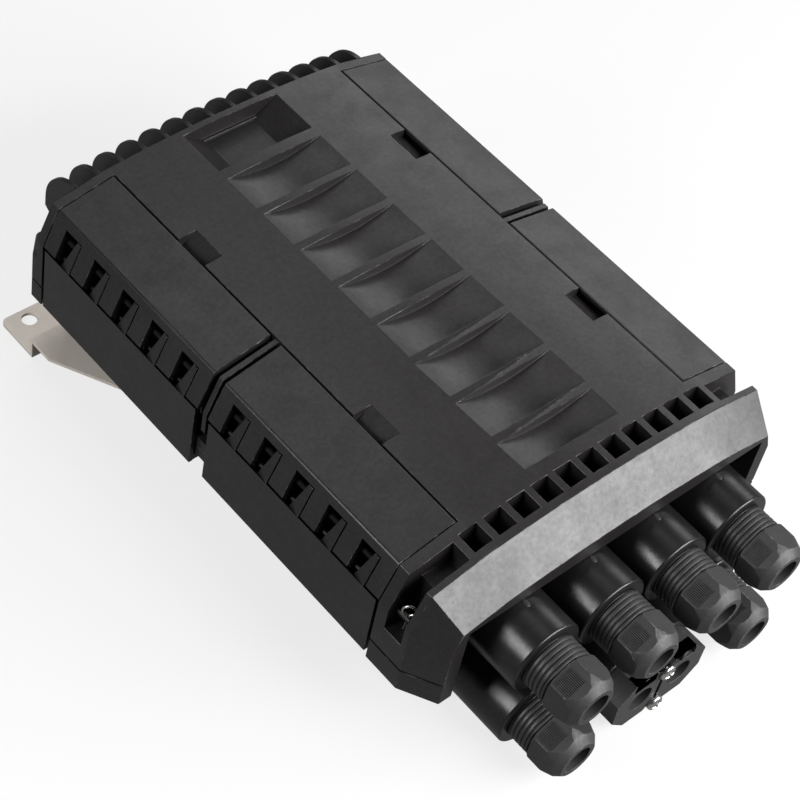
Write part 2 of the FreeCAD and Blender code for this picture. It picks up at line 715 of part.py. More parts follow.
def make_lower_shell():
    sides = box(-RIM_X, RIM_X, -BAND_HALF, BAND_HALF, SEAM_Z - TUB_RIM_T, SEAM_Z)
    far = slab_z(far_plan(), SEAM_Z - FAR_TUB_RIM_T, SEAM_Z)
    near = slab_z(near_plan(), SEAM_Z - NEAR_TUB_RIM_T, SEAM_Z)
    near = near.cut(box(-MOUTH_X, MOUTH_X, HOOD_FRONT_Y, PLATE_BACK_Y, 0, SEAM_Z))
    tub = slab_y(both_sides(tub_side(0, FLOOR_Z, SEAM_Z)), PLATE_BACK_Y, FAR_WALL_Y)
    for x in (-FLOOR_X, FLOOR_X):
        tub = soften(tub, TUB_ROUND, x, FLOOR_Z)
    hollow = both_sides(tub_side(WALL, FLOOR_Z + WALL, SEAM_Z + 1))
    inside = slab_y(hollow, PLATE_BACK_Y, FAR_WALL_Y - WALL)
    shell = join([sides, far, near, tub])
    shell = carve(shell, [inside])
    posts = [rod_z(x, y, POST_R, FLOOR_Z + WALL / 2, BASE_Z) for x, y in base_post_places()]
    posts += pair(rod_z(ANCHOR_POST_X, ANCHOR_Y, POST_R, FLOOR_Z + WALL / 2, ANCHOR_Z))
    bosses = [rod_z(x, y, BOSS_R, FLOOR_Z + WALL / 2, FLOOR_Z + BOSS_H) for x, y in bracket_screw_places()]
    shell = join([shell] + posts + bosses)
    small = SMALL_SCREW_R + SCREW_FIT
    holes = [rod_z(x, y, small, BASE_Z - SMALL_SCREW_IN, BASE_Z) for x, y in base_post_places()]
    holes += pair(rod_z(ANCHOR_POST_X, ANCHOR_Y, small, ANCHOR_Z - SMALL_SCREW_IN, ANCHOR_Z))
    holes += [
        rod_z(x, y, BRACKET_SCREW_R + SCREW_FIT, FLOOR_Z, FLOOR_Z + BOSS_H - WALL / 2)
        for x, y in bracket_screw_places()
    ]
    return carve(shell, holes + [seam_ring()])


# Port block
def rounded_front(tube, front_y):
    """Round the outer edge at the front of a port."""
    rim = [e for e in tube.Edges if e.BoundBox.YMax < front_y + EDGE_NEAR]
    return tube.makeFillet(PORT_ROUND, rim)


def port_plate():
    half = [
        (PLATE_X, PLATE_TOP_Z),
        (PLATE_X, SEAM_Z),
        (MOUTH_X, SEAM_Z),
        (FLOOR_X - MOUTH_IN, FLOOR_Z),
        (FLOOR_X - PLATE_LOW_IN, PLATE_LOW_Z),
    ]
    return slab_y(both_sides(half), PLATE_Y, PLATE_BACK_Y)


def port_tubes():
    tubes = []
    for x, z in port_places():
        tubes.append(rounded_front(rod_y(x, z, PORT_R, PORT_FRONT_Y, PLATE_Y), PORT_FRONT_Y))
    return tubes + [rounded_front(oval_prism(OVAL_R, OVAL_FRONT_Y, PLATE_Y), OVAL_FRONT_Y)]


def port_bores():
    shapes = []
    for x, z in port_places():
        shapes.append(rod_y(x, z, PORT_R - PORT_WALL, PORT_FRONT_Y + PORT_FRONT_T, PLATE_BACK_Y))
        shapes.append(rod_y(x, z, NECK_R + NECK_FIT, PORT_FRONT_Y, PLATE_BACK_Y))
    return shapes + [oval_prism(OVAL_R - PORT_WALL, OVAL_FRONT_Y, PLATE_BACK_Y)]


def port_webs():
    """Upright webs that tie each lower round port to the port above it."""
    middle = (OUTER_PORT_X + LOWER_PORT_X) / 2
    web = box(middle - PORT_WEB_T / 2, middle + PORT_WEB_T / 2, PORT_FRONT_Y + PORT_FRONT_T, PLATE_Y,
              LOWER_PORT_Z, UPPER_PORT_Z)
    return pair(web)


def make_port_block():
    """End plate of the tub with all the ports, seated between the two shells."""
    return carve(join([port_plate()] + port_tubes() + port_webs()), port_bores())


# Seals along the seam and round the port plate
def make_port_gasket():
    half = [(INNER_X, PORT_ROOF_Z), (INNER_X, SEAM_Z), (PLATE_X, SEAM_Z), (PLATE_X, PLATE_TOP_Z)]
    return slab_y(both_sides(half), PLATE_Y, PLATE_BACK_Y)


# Latches
def offset_line(a, b, distance):
    """Two points moved sideways to the right of the way from a to b."""
    dx = b[0] - a[0]
    dz = b[1] - a[1]
    size = math.hypot(dx, dz)
    move = (dz / size * distance, -dx / size * distance)
    return [(p[0] + move[0], p[1] + move[1]) for p in (a, b)]


def crossing(first, second):
    """Where two lines, each given by two points, meet."""
    (x1, z1), (x2, z2) = first
    (x3, z3), (x4, z4) = second
    a = x1 * z2 - z1 * x2
    b = x3 * z4 - z3 * x4
    d = (x1 - x2) * (z3 - z4) - (z1 - z2) * (x3 - x4)
    return ((a * (x3 - x4) - (x1 - x2) * b) / d, (a * (z3 - z4) - (z1 - z2) * b) / d)


def lever_section():
    """Lever outline across the latch: top panel, sloping band and the lug round both pins."""
    inner_edge = (LATCH_X, TOP_Z)
    shoulder = (SHOULDER_X, SHOULDER_Z)
    toe = (HALF_WIDTH, SKIRT_Z)
    panel_under = offset_line(inner_edge, shoulder, LEVER_T)
    band_under = offset_line(shoulder, toe, LEVER_T)
    level = [(0, SKIRT_Z), (1, SKIRT_Z)]
    upright = [(LATCH_X, 0), (LATCH_X, 1)]
    inner_shoulder = crossing(panel_under, band_under)
    inner_toe = crossing(band_under, level)
    inner_low = crossing(panel_under, upright)
    panel = [inner_edge, shoulder, toe, inner_toe, inner_shoulder, inner_low]
    lug = [
        inner_shoulder,
        inner_toe,
        (PIVOT_X + PIVOT_EYE_R, PIVOT_Z),
        (PIVOT_X - PIVOT_EYE_R, PIVOT_Z),
        (LINK_PIN_X - LINK_EYE_R, LINK_PIN_Z),
        (LINK_PIN_X - LINK_EYE_R, LINK_PIN_Z + LINK_EYE_R),
    ]
    return panel, lug


def latch_span(side):
    """Near and far ends of a latch, on the far half (1) or the near half (-1) of the band."""
    y0 = LATCH_MID_Y * side - LATCH_LENGTH / 2
    return y0, y0 + LATCH_LENGTH


def slot_places(side):
    return [LATCH_MID_Y * side + offset for offset in spaced(SLOT_COUNT, SLOT_PITCH)]


def make_lever(side):
    y0, y1 = latch_span(side)
    panel, lug = lever_section()
    cover = soften(slab_y(panel, y0, y1), SHOULDER_ROUND, SHOULDER_X, SHOULDER_Z)
    cover = soften(cover, LEVER_EDGE_ROUND, LATCH_X, TOP_Z)
    cover = soften(cover, LEVER_EDGE_ROUND, HALF_WIDTH, SKIRT_Z)
    pieces = [
        cover,
        slab_y(lug, y0, y1),
        rod_y(PIVOT_X, PIVOT_Z, PIVOT_EYE_R, y0, y1),
        rod_y(LINK_PIN_X, LINK_PIN_Z, LINK_EYE_R, y0, y1),
    ]
    under = panel[5]
    shoulder = panel[4]
    rib = [under, (under[0], under[1] - LEVER_RIB_H), (shoulder[0], shoulder[1] - LEVER_RIB_H), shoulder]
    step = (LATCH_LENGTH - LEVER_RIB_T) / (LEVER_RIB_COUNT - 1)
    for i in range(LEVER_RIB_COUNT):
        pieces.append(slab_y(rib, y0 + i * step, y0 + i * step + LEVER_RIB_T))
    lever = join(pieces)
    half = SLOT_WIDTH / 2
    slots = [
        box(SIDE_WALL_X, HALF_WIDTH + 1, y - half, y + half, SEAM_Z, TOP_Z - SLOT_DROP)
        for y in slot_places(side)
    ]
    bores = [
        rod_y(PIVOT_X, PIVOT_Z, PIVOT_R + RUN_FIT, y0, y1),
        rod_y(LINK_PIN_X, LINK_PIN_Z, LINK_PIN_R + PRESS_FIT, y0, y1),
    ]
    return carve(carve(lever, slots), bores)


def link_arm(y):
    """Arm round the link pin in one slot of the lever, ramped in towards a slanted far side."""
    inner = HALF_WIDTH - LINK_T
    foot = SKIRT_Z - LINK_TOP_GAP - 3 * LINK_T
    clear_x = PIVOT_X + PIVOT_R + LINK_GAP
    arm_top = TOP_Z - SLOT_DROP - ARM_TOP_GAP
    shoulder = (SHOULDER_X, SHOULDER_Z)
    toe = (HALF_WIDTH, SKIRT_Z)
    face = offset_line(shoulder, toe, ARM_SINK)
    outline = [
        (HALF_WIDTH, foot),
        crossing(face, [(HALF_WIDTH, 0), (HALF_WIDTH, 1)]),
        crossing(face, [(0, arm_top), (1, arm_top)]),
        (LINK_PIN_X - KNUCKLE_IN, arm_top),
        (LINK_PIN_X - LINK_EYE_R, LINK_PIN_Z),
        (LINK_PIN_X, LINK_PIN_Z - LINK_EYE_R),
        (clear_x, PIVOT_Z + PIVOT_R + LINK_GAP),
        (clear_x, PIVOT_Z),
        (inner, foot),
    ]
    half = SLOT_WIDTH / 2 - ARM_GAP
    eye = rod_y(LINK_PIN_X, LINK_PIN_Z, LINK_EYE_R, y - half, y + half)
    near_y = y - SLOT_WIDTH / 2
    far_y = y + SLOT_WIDTH / 2
    low_out = (HALF_WIDTH, far_y - ARM_FAR_LOW, SKIRT_Z)
    low_in = (0, far_y - ARM_FAR_LOW, SKIRT_Z)
    high_in = (0, far_y - ARM_FAR_TOP, TOP_Z - SLOT_DROP)
    slant = half_space(low_out, low_in, high_in, BIG)
    high = (SHOULDER_X, near_y, SHOULDER_Z)
    low = (HALF_WIDTH, near_y, SKIRT_Z)
    sunk_x, sunk_z = offset_line(shoulder, toe, ARM_RAMP)[1]
    ramp = half_space(high, low, (sunk_x, far_y, sunk_z), BIG)
    return carve(join([slab_y(outline, y - half, y + half), eye]), [slant, ramp])


def make_link(side):
    """Side panel with a hook under the tub's rim and arms that reach up to the link pin."""
    y0, y1 = latch_span(side)
    y0 += LINK_END_GAP
    y1 -= LINK_END_GAP
    inner = HALF_WIDTH - LINK_T
    top = SKIRT_Z - LINK_TOP_GAP
    hook_top = SEAM_Z - TUB_RIM_T - HOOK_GAP
    bottom = hook_top - HOOK_T - LINK_FOOT
    panel = slab_y([(inner, bottom), (HALF_WIDTH, bottom), (HALF_WIDTH, top), (inner, top - LINK_T)], y0, y1)
    hook = box(inner - HOOK_REACH, inner, y0, y1, hook_top - HOOK_T, hook_top)
    arms = [link_arm(y) for y in slot_places(side)]
    bore = rod_y(LINK_PIN_X, LINK_PIN_Z, LINK_PIN_R + RUN_FIT, y0, y1)
    return carve(join([panel, hook] + arms), [bore])


def make_link_pin(side):
    y0, y1 = latch_span(side)
    return rod_y(LINK_PIN_X, LINK_PIN_Z, LINK_PIN_R, y0, y1)


def make_pivot_rod():
    rod = rod_y(PIVOT_X, PIVOT_Z, PIVOT_R, ROD_END_Y, FAR_WALL_Y)
    cross = rod_z(PIVOT_X, SPLIT_PIN_Y, SPLIT_PIN_R + SCREW_FIT, PIVOT_Z - BIG, PIVOT_Z + BIG)
    return carve(rod, [cross])


def make_split_pin():
    """Wire eye above the rod's end, with its legs passed down through the rod."""
    eye_z = PIVOT_Z + PIVOT_R + SPLIT_EYE_R + SPLIT_PIN_R
    eye = Part.makeTorus(SPLIT_EYE_R, SPLIT_PIN_R, V(PIVOT_X, SPLIT_PIN_Y, eye_z), V(0, 1, 0))
    legs = rod_z(PIVOT_X, SPLIT_PIN_Y, SPLIT_PIN_R, PIVOT_Z - SPLIT_LEG, eye_z - SPLIT_EYE_R)
    return join([eye, legs])


# Cable glands
def make_gland_neck(x, z):
    """Threaded neck: plug inside the port, coarse rounds outside and a plain tip for the nut."""
    back = PORT_FRONT_Y + NECK_INSIDE
    profile = [(NECK_BORE_R, back), (NECK_R, back), (NECK_R, PORT_FRONT_Y)]
    for i in range(NECK_RIDGE_COUNT):
        y = PORT_FRONT_Y - i * NECK_RIDGE_PITCH
        profile += [
            (NECK_CREST_R, y - NECK_RIDGE_PITCH * 0.3),
            (NECK_CREST_R, y - NECK_RIDGE_PITCH * 0.6),
            (NECK_R, y - NECK_RIDGE_PITCH * 0.9),
        ]
    profile += [
        (NECK_R, NECK_END_Y),
        (NECK_TIP_R, NECK_END_Y),
        (NECK_TIP_R, NECK_TIP_Y),
        (NECK_BORE_R, NECK_TIP_Y),
    ]
    return turned_y(profile, x, z)


def make_gland_nut(x, z):
    corner_r = NUT_FLATS / math.sqrt(3)
    turns = [math.radians(NUT_TURN + a) for a in range(0, 360, 60)]
    corners = [(x + corner_r * math.cos(a), z + corner_r * math.sin(a)) for a in turns]
    hexagon = slab_y(corners, NUT_FRONT_Y, NUT_BACK_Y)
    dome = [
        (0, NUT_BACK_Y),
        (corner_r - NUT_CHAMFER, NUT_BACK_Y),
        (corner_r, NUT_BACK_Y - NUT_CHAMFER),
        (corner_r, NUT_DOME_Y + NUT_CONE),
        (NUT_DOME_R, NUT_DOME_Y - NUT_CHAMFER),
        (NUT_NOSE_R, NUT_FRONT_Y),
        (0, NUT_FRONT_Y),
    ]
    body = hexagon.common(turned_y(dome, x, z))
    seat_y = GLAND_SEAL_Y - GLAND_SEAL_GAP
    bores = [
        rod_y(x, z, NECK_TIP_R + RUN_FIT, seat_y, NUT_BACK_Y),
        rod_y(x, z, CABLE_R, NUT_FRONT_Y, NUT_BACK_Y),
    ]
    return carve(body, bores)


def make_gland_seal(x, z):
    ring = rod_y(x, z, GLAND_SEAL_R, GLAND_SEAL_Y, NECK_TIP_Y)
    return carve(ring, [rod_y(x, z, GLAND_SEAL_BORE_R, GLAND_SEAL_Y, NECK_TIP_Y)])


# Split clamp on the oval port
def clamp_screw_holes():
    return [
        rod_y(0, LOWER_PORT_Z + side * CLAMP_SCREW_OUT, CLAMP_SCREW_R + SCREW_FIT,
              CLAMP_FRONT_Y, OVAL_FRONT_Y + GROMMET_T)
        for side in (-1, 1)
    ]


def make_oval_grommet():
    y1 = OVAL_FRONT_Y + GROMMET_T
    block = oval_prism(OVAL_R - PORT_WALL - GROMMET_GAP, OVAL_FRONT_Y, y1)
    cables = [rod_y(x, LOWER_PORT_Z, CLAMP_CABLE_R, OVAL_FRONT_Y, y1) for x in (-OVAL_HALF, OVAL_HALF)]
    return carve(block, cables + clamp_screw_holes())


def make_clamp_half():
    """Right half: an eight-sided block round one cable, cut along the slit, with two pockets on top."""
    radius = CLAMP_FLATS / 2 / math.cos(math.radians(22.5))
    corners = [(OVAL_HALF + radius * math.cos(math.radians(a + 22.5)),
                LOWER_PORT_Z + radius * math.sin(math.radians(a + 22.5))) for a in range(0, 360, 45)]
    front = CLAMP_FRONT_Y
    block = slab_y(corners, front, OVAL_FRONT_Y)
    slit = box(-BIG, CLAMP_SLIT / 2, -BIG, BIG, -BIG, BIG)
    bore = rod_y(OVAL_HALF, LOWER_PORT_Z, CLAMP_CABLE_R, front, OVAL_FRONT_Y)
    pocket_z = LOWER_PORT_Z + CLAMP_FLATS / 2 - CLAMP_POCKET_H
    far_side = CLAMP_WEB_T / 2 + CLAMP_POCKET_W
    pockets = [
        box(OVAL_HALF + x, OVAL_HALF + x + CLAMP_POCKET_W, front, front + CLAMP_POCKET_DEPTH, pocket_z, BIG)
        for x in (-far_side, CLAMP_WEB_T / 2)
    ]
    return carve(block, [slit, bore] + pockets + clamp_screw_holes())


def make_clamp_screws():
    """Pan-head screws above and below the slit, whose heads bear on both halves."""
    front = CLAMP_FRONT_Y
    screws = []
    for side in (-1, 1):
        z = LOWER_PORT_Z + side * CLAMP_SCREW_OUT
        head = rod_y(0, z, CLAMP_HEAD_R, front - CLAMP_HEAD_T, front)
        shank = rod_y(0, z, CLAMP_SCREW_R, front, OVAL_FRONT_Y + GROMMET_T)
        screws.append(join([head, shank]))
    return Part.makeCompound(screws)


# Wall bracket
def make_bracket():
    """One folded sheet: a web under the tub, two stepped-down ears and a stepped-down foot."""
    foot_x = BRACKET_NECK_X
    half = [
        (BRACKET_X, BRACKET_FAR_Y),
        (BRACKET_X, BRACKET_FAR_Y - BRACKET_EDGE),
        (foot_x, BRACKET_FAR_Y - BRACKET_EDGE - BRACKET_TAPER),
        (foot_x, BRACKET_FOOT_Y),
    ]
    web = slab_z(both_sides(half), WEB_Z, FLOOR_Z)
    web = web.cut(box(-EAR_X, EAR_X, BRACKET_FAR_Y - BRACKET_CUT, BRACKET_FAR_Y, WEB_Z, FLOOR_Z))
    ear_riser = box(EAR_X, BRACKET_X, BRACKET_FAR_Y - SHEET_T, BRACKET_FAR_Y, 0, FLOOR_Z)
    ear = box(EAR_X, BRACKET_X, BRACKET_FAR_Y - SHEET_T, EAR_TIP_Y, 0, SHEET_T)
    tips = [e for e in ear.Edges if e.BoundBox.YMin > BRACKET_FAR_Y and e.BoundBox.ZLength > SHEET_T / 2]
    ear = ear.makeFillet(EAR_ROUND, tips)
    foot_riser = box(-foot_x, foot_x, BRACKET_FOOT_Y, BRACKET_FOOT_Y + SHEET_T, 0, FLOOR_Z)
    foot = box(-foot_x, foot_x, BRACKET_FOOT_Y - BRACKET_FOOT_LENGTH, BRACKET_FOOT_Y + SHEET_T, 0, SHEET_T)
    hole_x = BRACKET_X - EAR_WIDTH / 2
    holes = pair(rod_z(hole_x, EAR_HOLE_Y, EAR_HOLE_R, 0, SHEET_T))
    holes += [rod_z(x, y, BRACKET_SCREW_R + SCREW_FIT, WEB_Z, FLOOR_Z) for x, y in bracket_screw_places()]
    return carve(join([web, foot_riser, foot] + pair(ear_riser) + pair(ear)), holes)


def screw_up(x, y, z, r, length, head_r, head_t):
    """A screw driven upwards, with its head under the height given."""
    return join([rod_z(x, y, r, z, z + length), rod_z(x, y, head_r, z - head_t, z)])


def screw_down(x, y, z, r, length, head_r, head_t):
    """A screw driven downwards, with its head on the height given."""
    return join([rod_z(x, y, r, z - length, z), rod_z(x, y, head_r, z, z + head_t)])


def make_bracket_screws():
    length = SHEET_T + BOSS_H - WALL
    return Part.makeCompound([
        screw_up(x, y, WEB_Z, BRACKET_SCREW_R, length, BRACKET_HEAD_R, BRACKET_HEAD_T)
        for x, y in bracket_screw_places()
    ])


# Splice trays
def stud_places():
    return [(0, TRAY_MID_Y - SPOOL_OFFSET), (0, TRAY_MID_Y + SPOOL_OFFSET)]


def stud_holes(z0, z1):
    return [rod_z(x, y, STUD_R + STUD_FIT, z0, z1) for x, y in stud_places()]


def make_tray_base():
    plate = rounded_plate(-BASE_X, BASE_X, BASE_Y0, BASE_Y1, BASE_Z, BASE_Z + BASE_T, BASE_ROUND)
    slot = rounded_plate(-BASE_SLOT_X, BASE_SLOT_X, TRAY_MID_Y - BASE_SLOT_Y, TRAY_MID_Y + BASE_SLOT_Y,
                         BASE_Z, BASE_Z + BASE_T, BASE_ROUND)
    holes = [rod_z(x, y, SMALL_SCREW_R + SCREW_FIT, BASE_Z, BASE_Z + BASE_T) for x, y in base_post_places()]
    studs = [rod_z(x, y, STUD_R + PRESS_FIT, BASE_Z, BASE_Z + BASE_T) for x, y in stud_places()]
    return carve(plate, [slot] + holes + studs)


def tray_outline(inset, z0, z1):
    x = TRAY_X - inset
    y = TRAY_Y - inset
    return rounded_plate(-x, x, TRAY_MID_Y - y, TRAY_MID_Y + y, z0, z1, TRAY_ROUND - inset)


def make_tray(level):
    """A shallow tray with two round cores that set the bend of the fibre."""
    z0 = TRAY_Z + level * TRAY_PITCH
    tray = carve(tray_outline(0, z0, z0 + TRAY_H), [tray_outline(TRAY_WALL, z0 + TRAY_WALL, z0 + TRAY_H)])
    cores = []
    for x, y in stud_places():
        core = rod_z(x, y, SPOOL_R, z0, z0 + SPOOL_H)
        cores.append(carve(core, [rod_z(x, y, SPOOL_R - TRAY_WALL, z0 + TRAY_WALL, z0 + SPOOL_H)]))
    return carve(join([tray] + cores), stud_holes(z0, z0 + TRAY_WALL))


def make_tray_lid():
    return carve(tray_outline(0, LID_Z, LID_Z + LID_T), stud_holes(LID_Z, LID_Z + LID_T))


def make_splice_holders():
    """One grooved comb on each tray, between its cores."""
    combs = []
    for level in range(TRAY_COUNT):
        z0 = TRAY_Z + level * TRAY_PITCH + TRAY_WALL
        block = box(-HOLDER_X, HOLDER_X, TRAY_MID_Y - HOLDER_Y, TRAY_MID_Y + HOLDER_Y, z0, z0 + HOLDER_H)
        pitch = 2 * HOLDER_Y / GROOVE_COUNT
        half = GROOVE_W / 2
        grooves = [
            box(-HOLDER_X, HOLDER_X, TRAY_MID_Y + y - half, TRAY_MID_Y + y + half,
                z0 + HOLDER_H - GROOVE_H, z0 + HOLDER_H)
            for y in spaced(GROOVE_COUNT, pitch)
        ]
        combs.append(carve(block, grooves))
    return Part.makeCompound(combs)


def make_tray_studs():
    top = LID_Z + LID_T + STUD_OVER
    return Part.makeCompound([rod_z(x, y, STUD_R, BASE_Z, top) for x, y in stud_places()])


def make_tray_nuts():
    z0 = LID_Z + LID_T
    nuts = []
    for x, y in stud_places():
        nut = rod_z(x, y, STUD_NUT_R, z0, z0 + STUD_NUT_H)
        nuts.append(carve(nut, [rod_z(x, y, STUD_R + PRESS_FIT, z0, z0 + STUD_NUT_H)]))
    return Part.makeCompound(nuts)


def make_base_screws():
    return Part.makeCompound([
        screw_down(x, y, BASE_Z + BASE_T, SMALL_SCREW_R, SMALL_SCREW_IN, SMALL_HEAD_R, SMALL_HEAD_H)
        for x, y in base_post_places()
    ])


# Cable anchors inside the near end
def make_anchor_bar():
    y0 = ANCHOR_Y - ANCHOR_W / 2
    bar = box(-ANCHOR_X, ANCHOR_X, y0, y0 + ANCHOR_W, ANCHOR_Z, ANCHOR_Z + SHEET_T)
    holes = pair(rod_z(ANCHOR_POST_X, ANCHOR_Y, SMALL_SCREW_R + SCREW_FIT, ANCHOR_Z, ANCHOR_Z + SHEET_T))
    return carve(bar, holes)


def make_anchor_screws():
    return Part.makeCompound(pair(
        screw_down(ANCHOR_POST_X, ANCHOR_Y, ANCHOR_Z + SHEET_T, SMALL_SCREW_R, SMALL_SCREW_IN,
                   SMALL_HEAD_R, SMALL_HEAD_H)))


def make_anchor_clamps():
    """Saddle blocks on the bar, each with a round channel for a cable's strength member."""
    z0 = ANCHOR_Z + SHEET_T
    y0 = ANCHOR_Y - ANCHOR_W / 2
    y1 = y0 + ANCHOR_W
    saddles = []
    for x in spaced(ANCHOR_CLAMP_COUNT, ANCHOR_CLAMP_PITCH):
        half = ANCHOR_CLAMP_W / 2
        block = box(x - half, x + half, y0, y1, z0, z0 + ANCHOR_CLAMP_H)
        channel = rod_y(x, z0 + ANCHOR_CLAMP_H, ANCHOR_CABLE_R, y0, y1)
        saddles.append(carve(block, [channel]))
    return Part.makeCompound(saddles)


# All pieces by name
def make_pieces():
    pieces = {
        "upper_shell": make_upper_shell(),
        "lower_shell": make_lower_shell(),
        "port_block": make_port_block(),
        "seam_gasket": seam_ring(),
        "port_gasket": make_port_gasket(),
    }
    for end, side in (("far", 1), ("near", -1)):
        lever = make_lever(side)
        link = make_link(side)
        pin = make_link_pin(side)
        pieces["latch_lever_" + end + "_right"] = lever
        pieces["latch_lever_" + end + "_left"] = mirrored(lever)
        pieces["latch_link_" + end + "_right"] = link
        pieces["latch_link_" + end + "_left"] = mirrored(link)
        pieces["link_pin_" + end + "_right"] = pin
        pieces["link_pin_" + end + "_left"] = mirrored(pin)
    rod = make_pivot_rod()
    pieces["pivot_rod_right"] = rod
    pieces["pivot_rod_left"] = mirrored(rod)
    pieces["split_pins"] = Part.makeCompound(pair(make_split_pin()))
    for number, (x, z) in enumerate(port_places(), 1):
        pieces["gland_neck_%d" % number] = make_gland_neck(x, z)
        pieces["gland_nut_%d" % number] = make_gland_nut(x, z)
        pieces["gland_seal_%d" % number] = make_gland_seal(x, z)
    clamp = make_clamp_half()
    pieces["oval_grommet"] = make_oval_grommet()
    pieces["clamp_half_right"] = clamp
    pieces["clamp_half_left"] = mirrored(clamp)
    pieces["clamp_screws"] = make_clamp_screws()
    pieces["wall_bracket"] = make_bracket()
    pieces["bracket_screws"] = make_bracket_screws()
    pieces["tray_base"] = make_tray_base()
    for level in range(TRAY_COUNT):
        pieces["splice_tray_%d" % (level + 1)] = make_tray(level)
    pieces["tray_lid"] = make_tray_lid()
    pieces["splice_holders"] = make_splice_holders()
    pieces["tray_studs"] = make_tray_studs()
    pieces["tray_nuts"] = make_tray_nuts()
    pieces["base_screws"] = make_base_screws()
    pieces["anchor_bar"] = make_anchor_bar()
    pieces["anchor_clamps"] = make_anchor_clamps()
    pieces["anchor_screws"] = make_anchor_screws()
    return pieces


os.makedirs("parts", exist_ok=True)
for name, shape in make_pieces().items():
    shape.translated(V(0, -EAR_HOLE_Y, 0)).exportStep("parts/" + name + ".step")
    print(name, len(shape.Solids), round(shape.Volume), shape.isValid())
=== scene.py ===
import json
import math

import bmesh
import bpy
from mathutils import Matrix, Quaternion, Vector


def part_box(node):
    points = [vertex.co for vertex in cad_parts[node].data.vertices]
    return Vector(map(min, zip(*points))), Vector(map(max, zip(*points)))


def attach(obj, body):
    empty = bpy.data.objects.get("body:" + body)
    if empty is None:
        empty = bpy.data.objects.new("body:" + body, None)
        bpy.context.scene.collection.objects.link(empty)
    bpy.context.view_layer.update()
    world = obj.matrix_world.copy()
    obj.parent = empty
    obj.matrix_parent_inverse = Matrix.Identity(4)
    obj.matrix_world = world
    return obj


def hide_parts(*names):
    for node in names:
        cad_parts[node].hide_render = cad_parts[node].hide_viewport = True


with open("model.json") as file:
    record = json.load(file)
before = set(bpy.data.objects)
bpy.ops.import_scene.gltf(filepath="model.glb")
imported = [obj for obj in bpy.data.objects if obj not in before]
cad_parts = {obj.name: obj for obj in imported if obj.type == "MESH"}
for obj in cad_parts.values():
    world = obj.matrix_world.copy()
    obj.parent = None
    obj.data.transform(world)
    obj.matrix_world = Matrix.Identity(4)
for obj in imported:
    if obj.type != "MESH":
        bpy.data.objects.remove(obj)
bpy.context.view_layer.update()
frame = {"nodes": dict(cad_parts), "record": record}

bl_info = {
    "name": "Fibre splice closure",
    "version": (1, 0, 0),
    "blender": (4, 5, 0),
    "location": "View3D > Sidebar > Closure",
    "description": "Dresses the packed closure with edges, threads, fasteners, finishes and a stage",
    "category": "Object",
}

MM = 0.001
ENDS = ("far", "near")
SIDES = ("right", "left")
LATCHES = [end + "_" + side for end in ENDS for side in SIDES]
GLANDS = range(1, 7)
UPPER_GLANDS = range(1, 5)
# values of the edge attribute: outer edges wear pale, the nut ribs take a small share of that paleness, and
# the ground between the ribs is painted shade
EDGE_MARK = 1.0
RIB_MARK = 0.15
GROOVE_SHADE_MARK = -1.0
# points closer than this are one point, and shorter edges are dissolved
WELD = 0.002 * MM
SLIVER = 0.001 * MM
# an edge is shaded soft up to the first bend, and crisp past the second or between broad faces
SOFT_BEND = math.radians(12)
CRISP_BEND = math.radians(38)
BROAD_FACE = 1.5 * MM
# how many widths of a round a face needs beside its edge
ROUND_ROOM = 1.8


# Properties that a user would change
class ClosureSizes(bpy.types.PropertyGroup):
    """Sizes of the details that the finished pieces carry."""

    shell_edge: bpy.props.FloatProperty(
        name="Shell edge", description="Rounding on the shells' moulded edges",
        default=0.35 * MM, unit="LENGTH", precision=5)
    latch_edge: bpy.props.FloatProperty(
        name="Latch edge", description="Rounding on the levers' and links' edges",
        default=0.3 * MM, unit="LENGTH", precision=5)
    small_edge: bpy.props.FloatProperty(
        name="Small edge", description="Rounding on nuts, clamps and other small mouldings",
        default=0.25 * MM, unit="LENGTH", precision=5)
    sheet_edge: bpy.props.FloatProperty(
        name="Sheet edge", description="Rounding on the cut edges of the steel sheet",
        default=0.2 * MM, unit="LENGTH", precision=5)
    thread_pitch: bpy.props.FloatProperty(
        name="Thread pitch", description="Travel of the gland thread in one turn",
        default=2.56 * MM, unit="LENGTH", precision=5)
    thread_depth: bpy.props.FloatProperty(
        name="Thread depth", description="Height of the gland thread over its root",
        default=0.9 * MM, unit="LENGTH", precision=5)
    rib_pitch: bpy.props.FloatProperty(
        name="Grip rib pitch", description="Spacing of the fine ribs on the gland nuts",
        default=0.9 * MM, unit="LENGTH", precision=5)
    rib_height: bpy.props.FloatProperty(
        name="Grip rib height", description="Height of the fine ribs on the gland nuts",
        default=0.36 * MM, unit="LENGTH", precision=5)
    rib_count: bpy.props.IntProperty(
        name="Grip ribs", description="Fine ribs on each ribbed flat of a gland nut", default=12)
    gate_length: bpy.props.FloatProperty(
        name="Gate mark length", description="Length of the oval moulding mark on each upper port",
        default=5.4 * MM, unit="LENGTH", precision=5)
    wire: bpy.props.FloatProperty(
        name="Split pin wire", description="Radius of the split pins' wire at the eye",
        default=0.72 * MM, unit="LENGTH", precision=5)


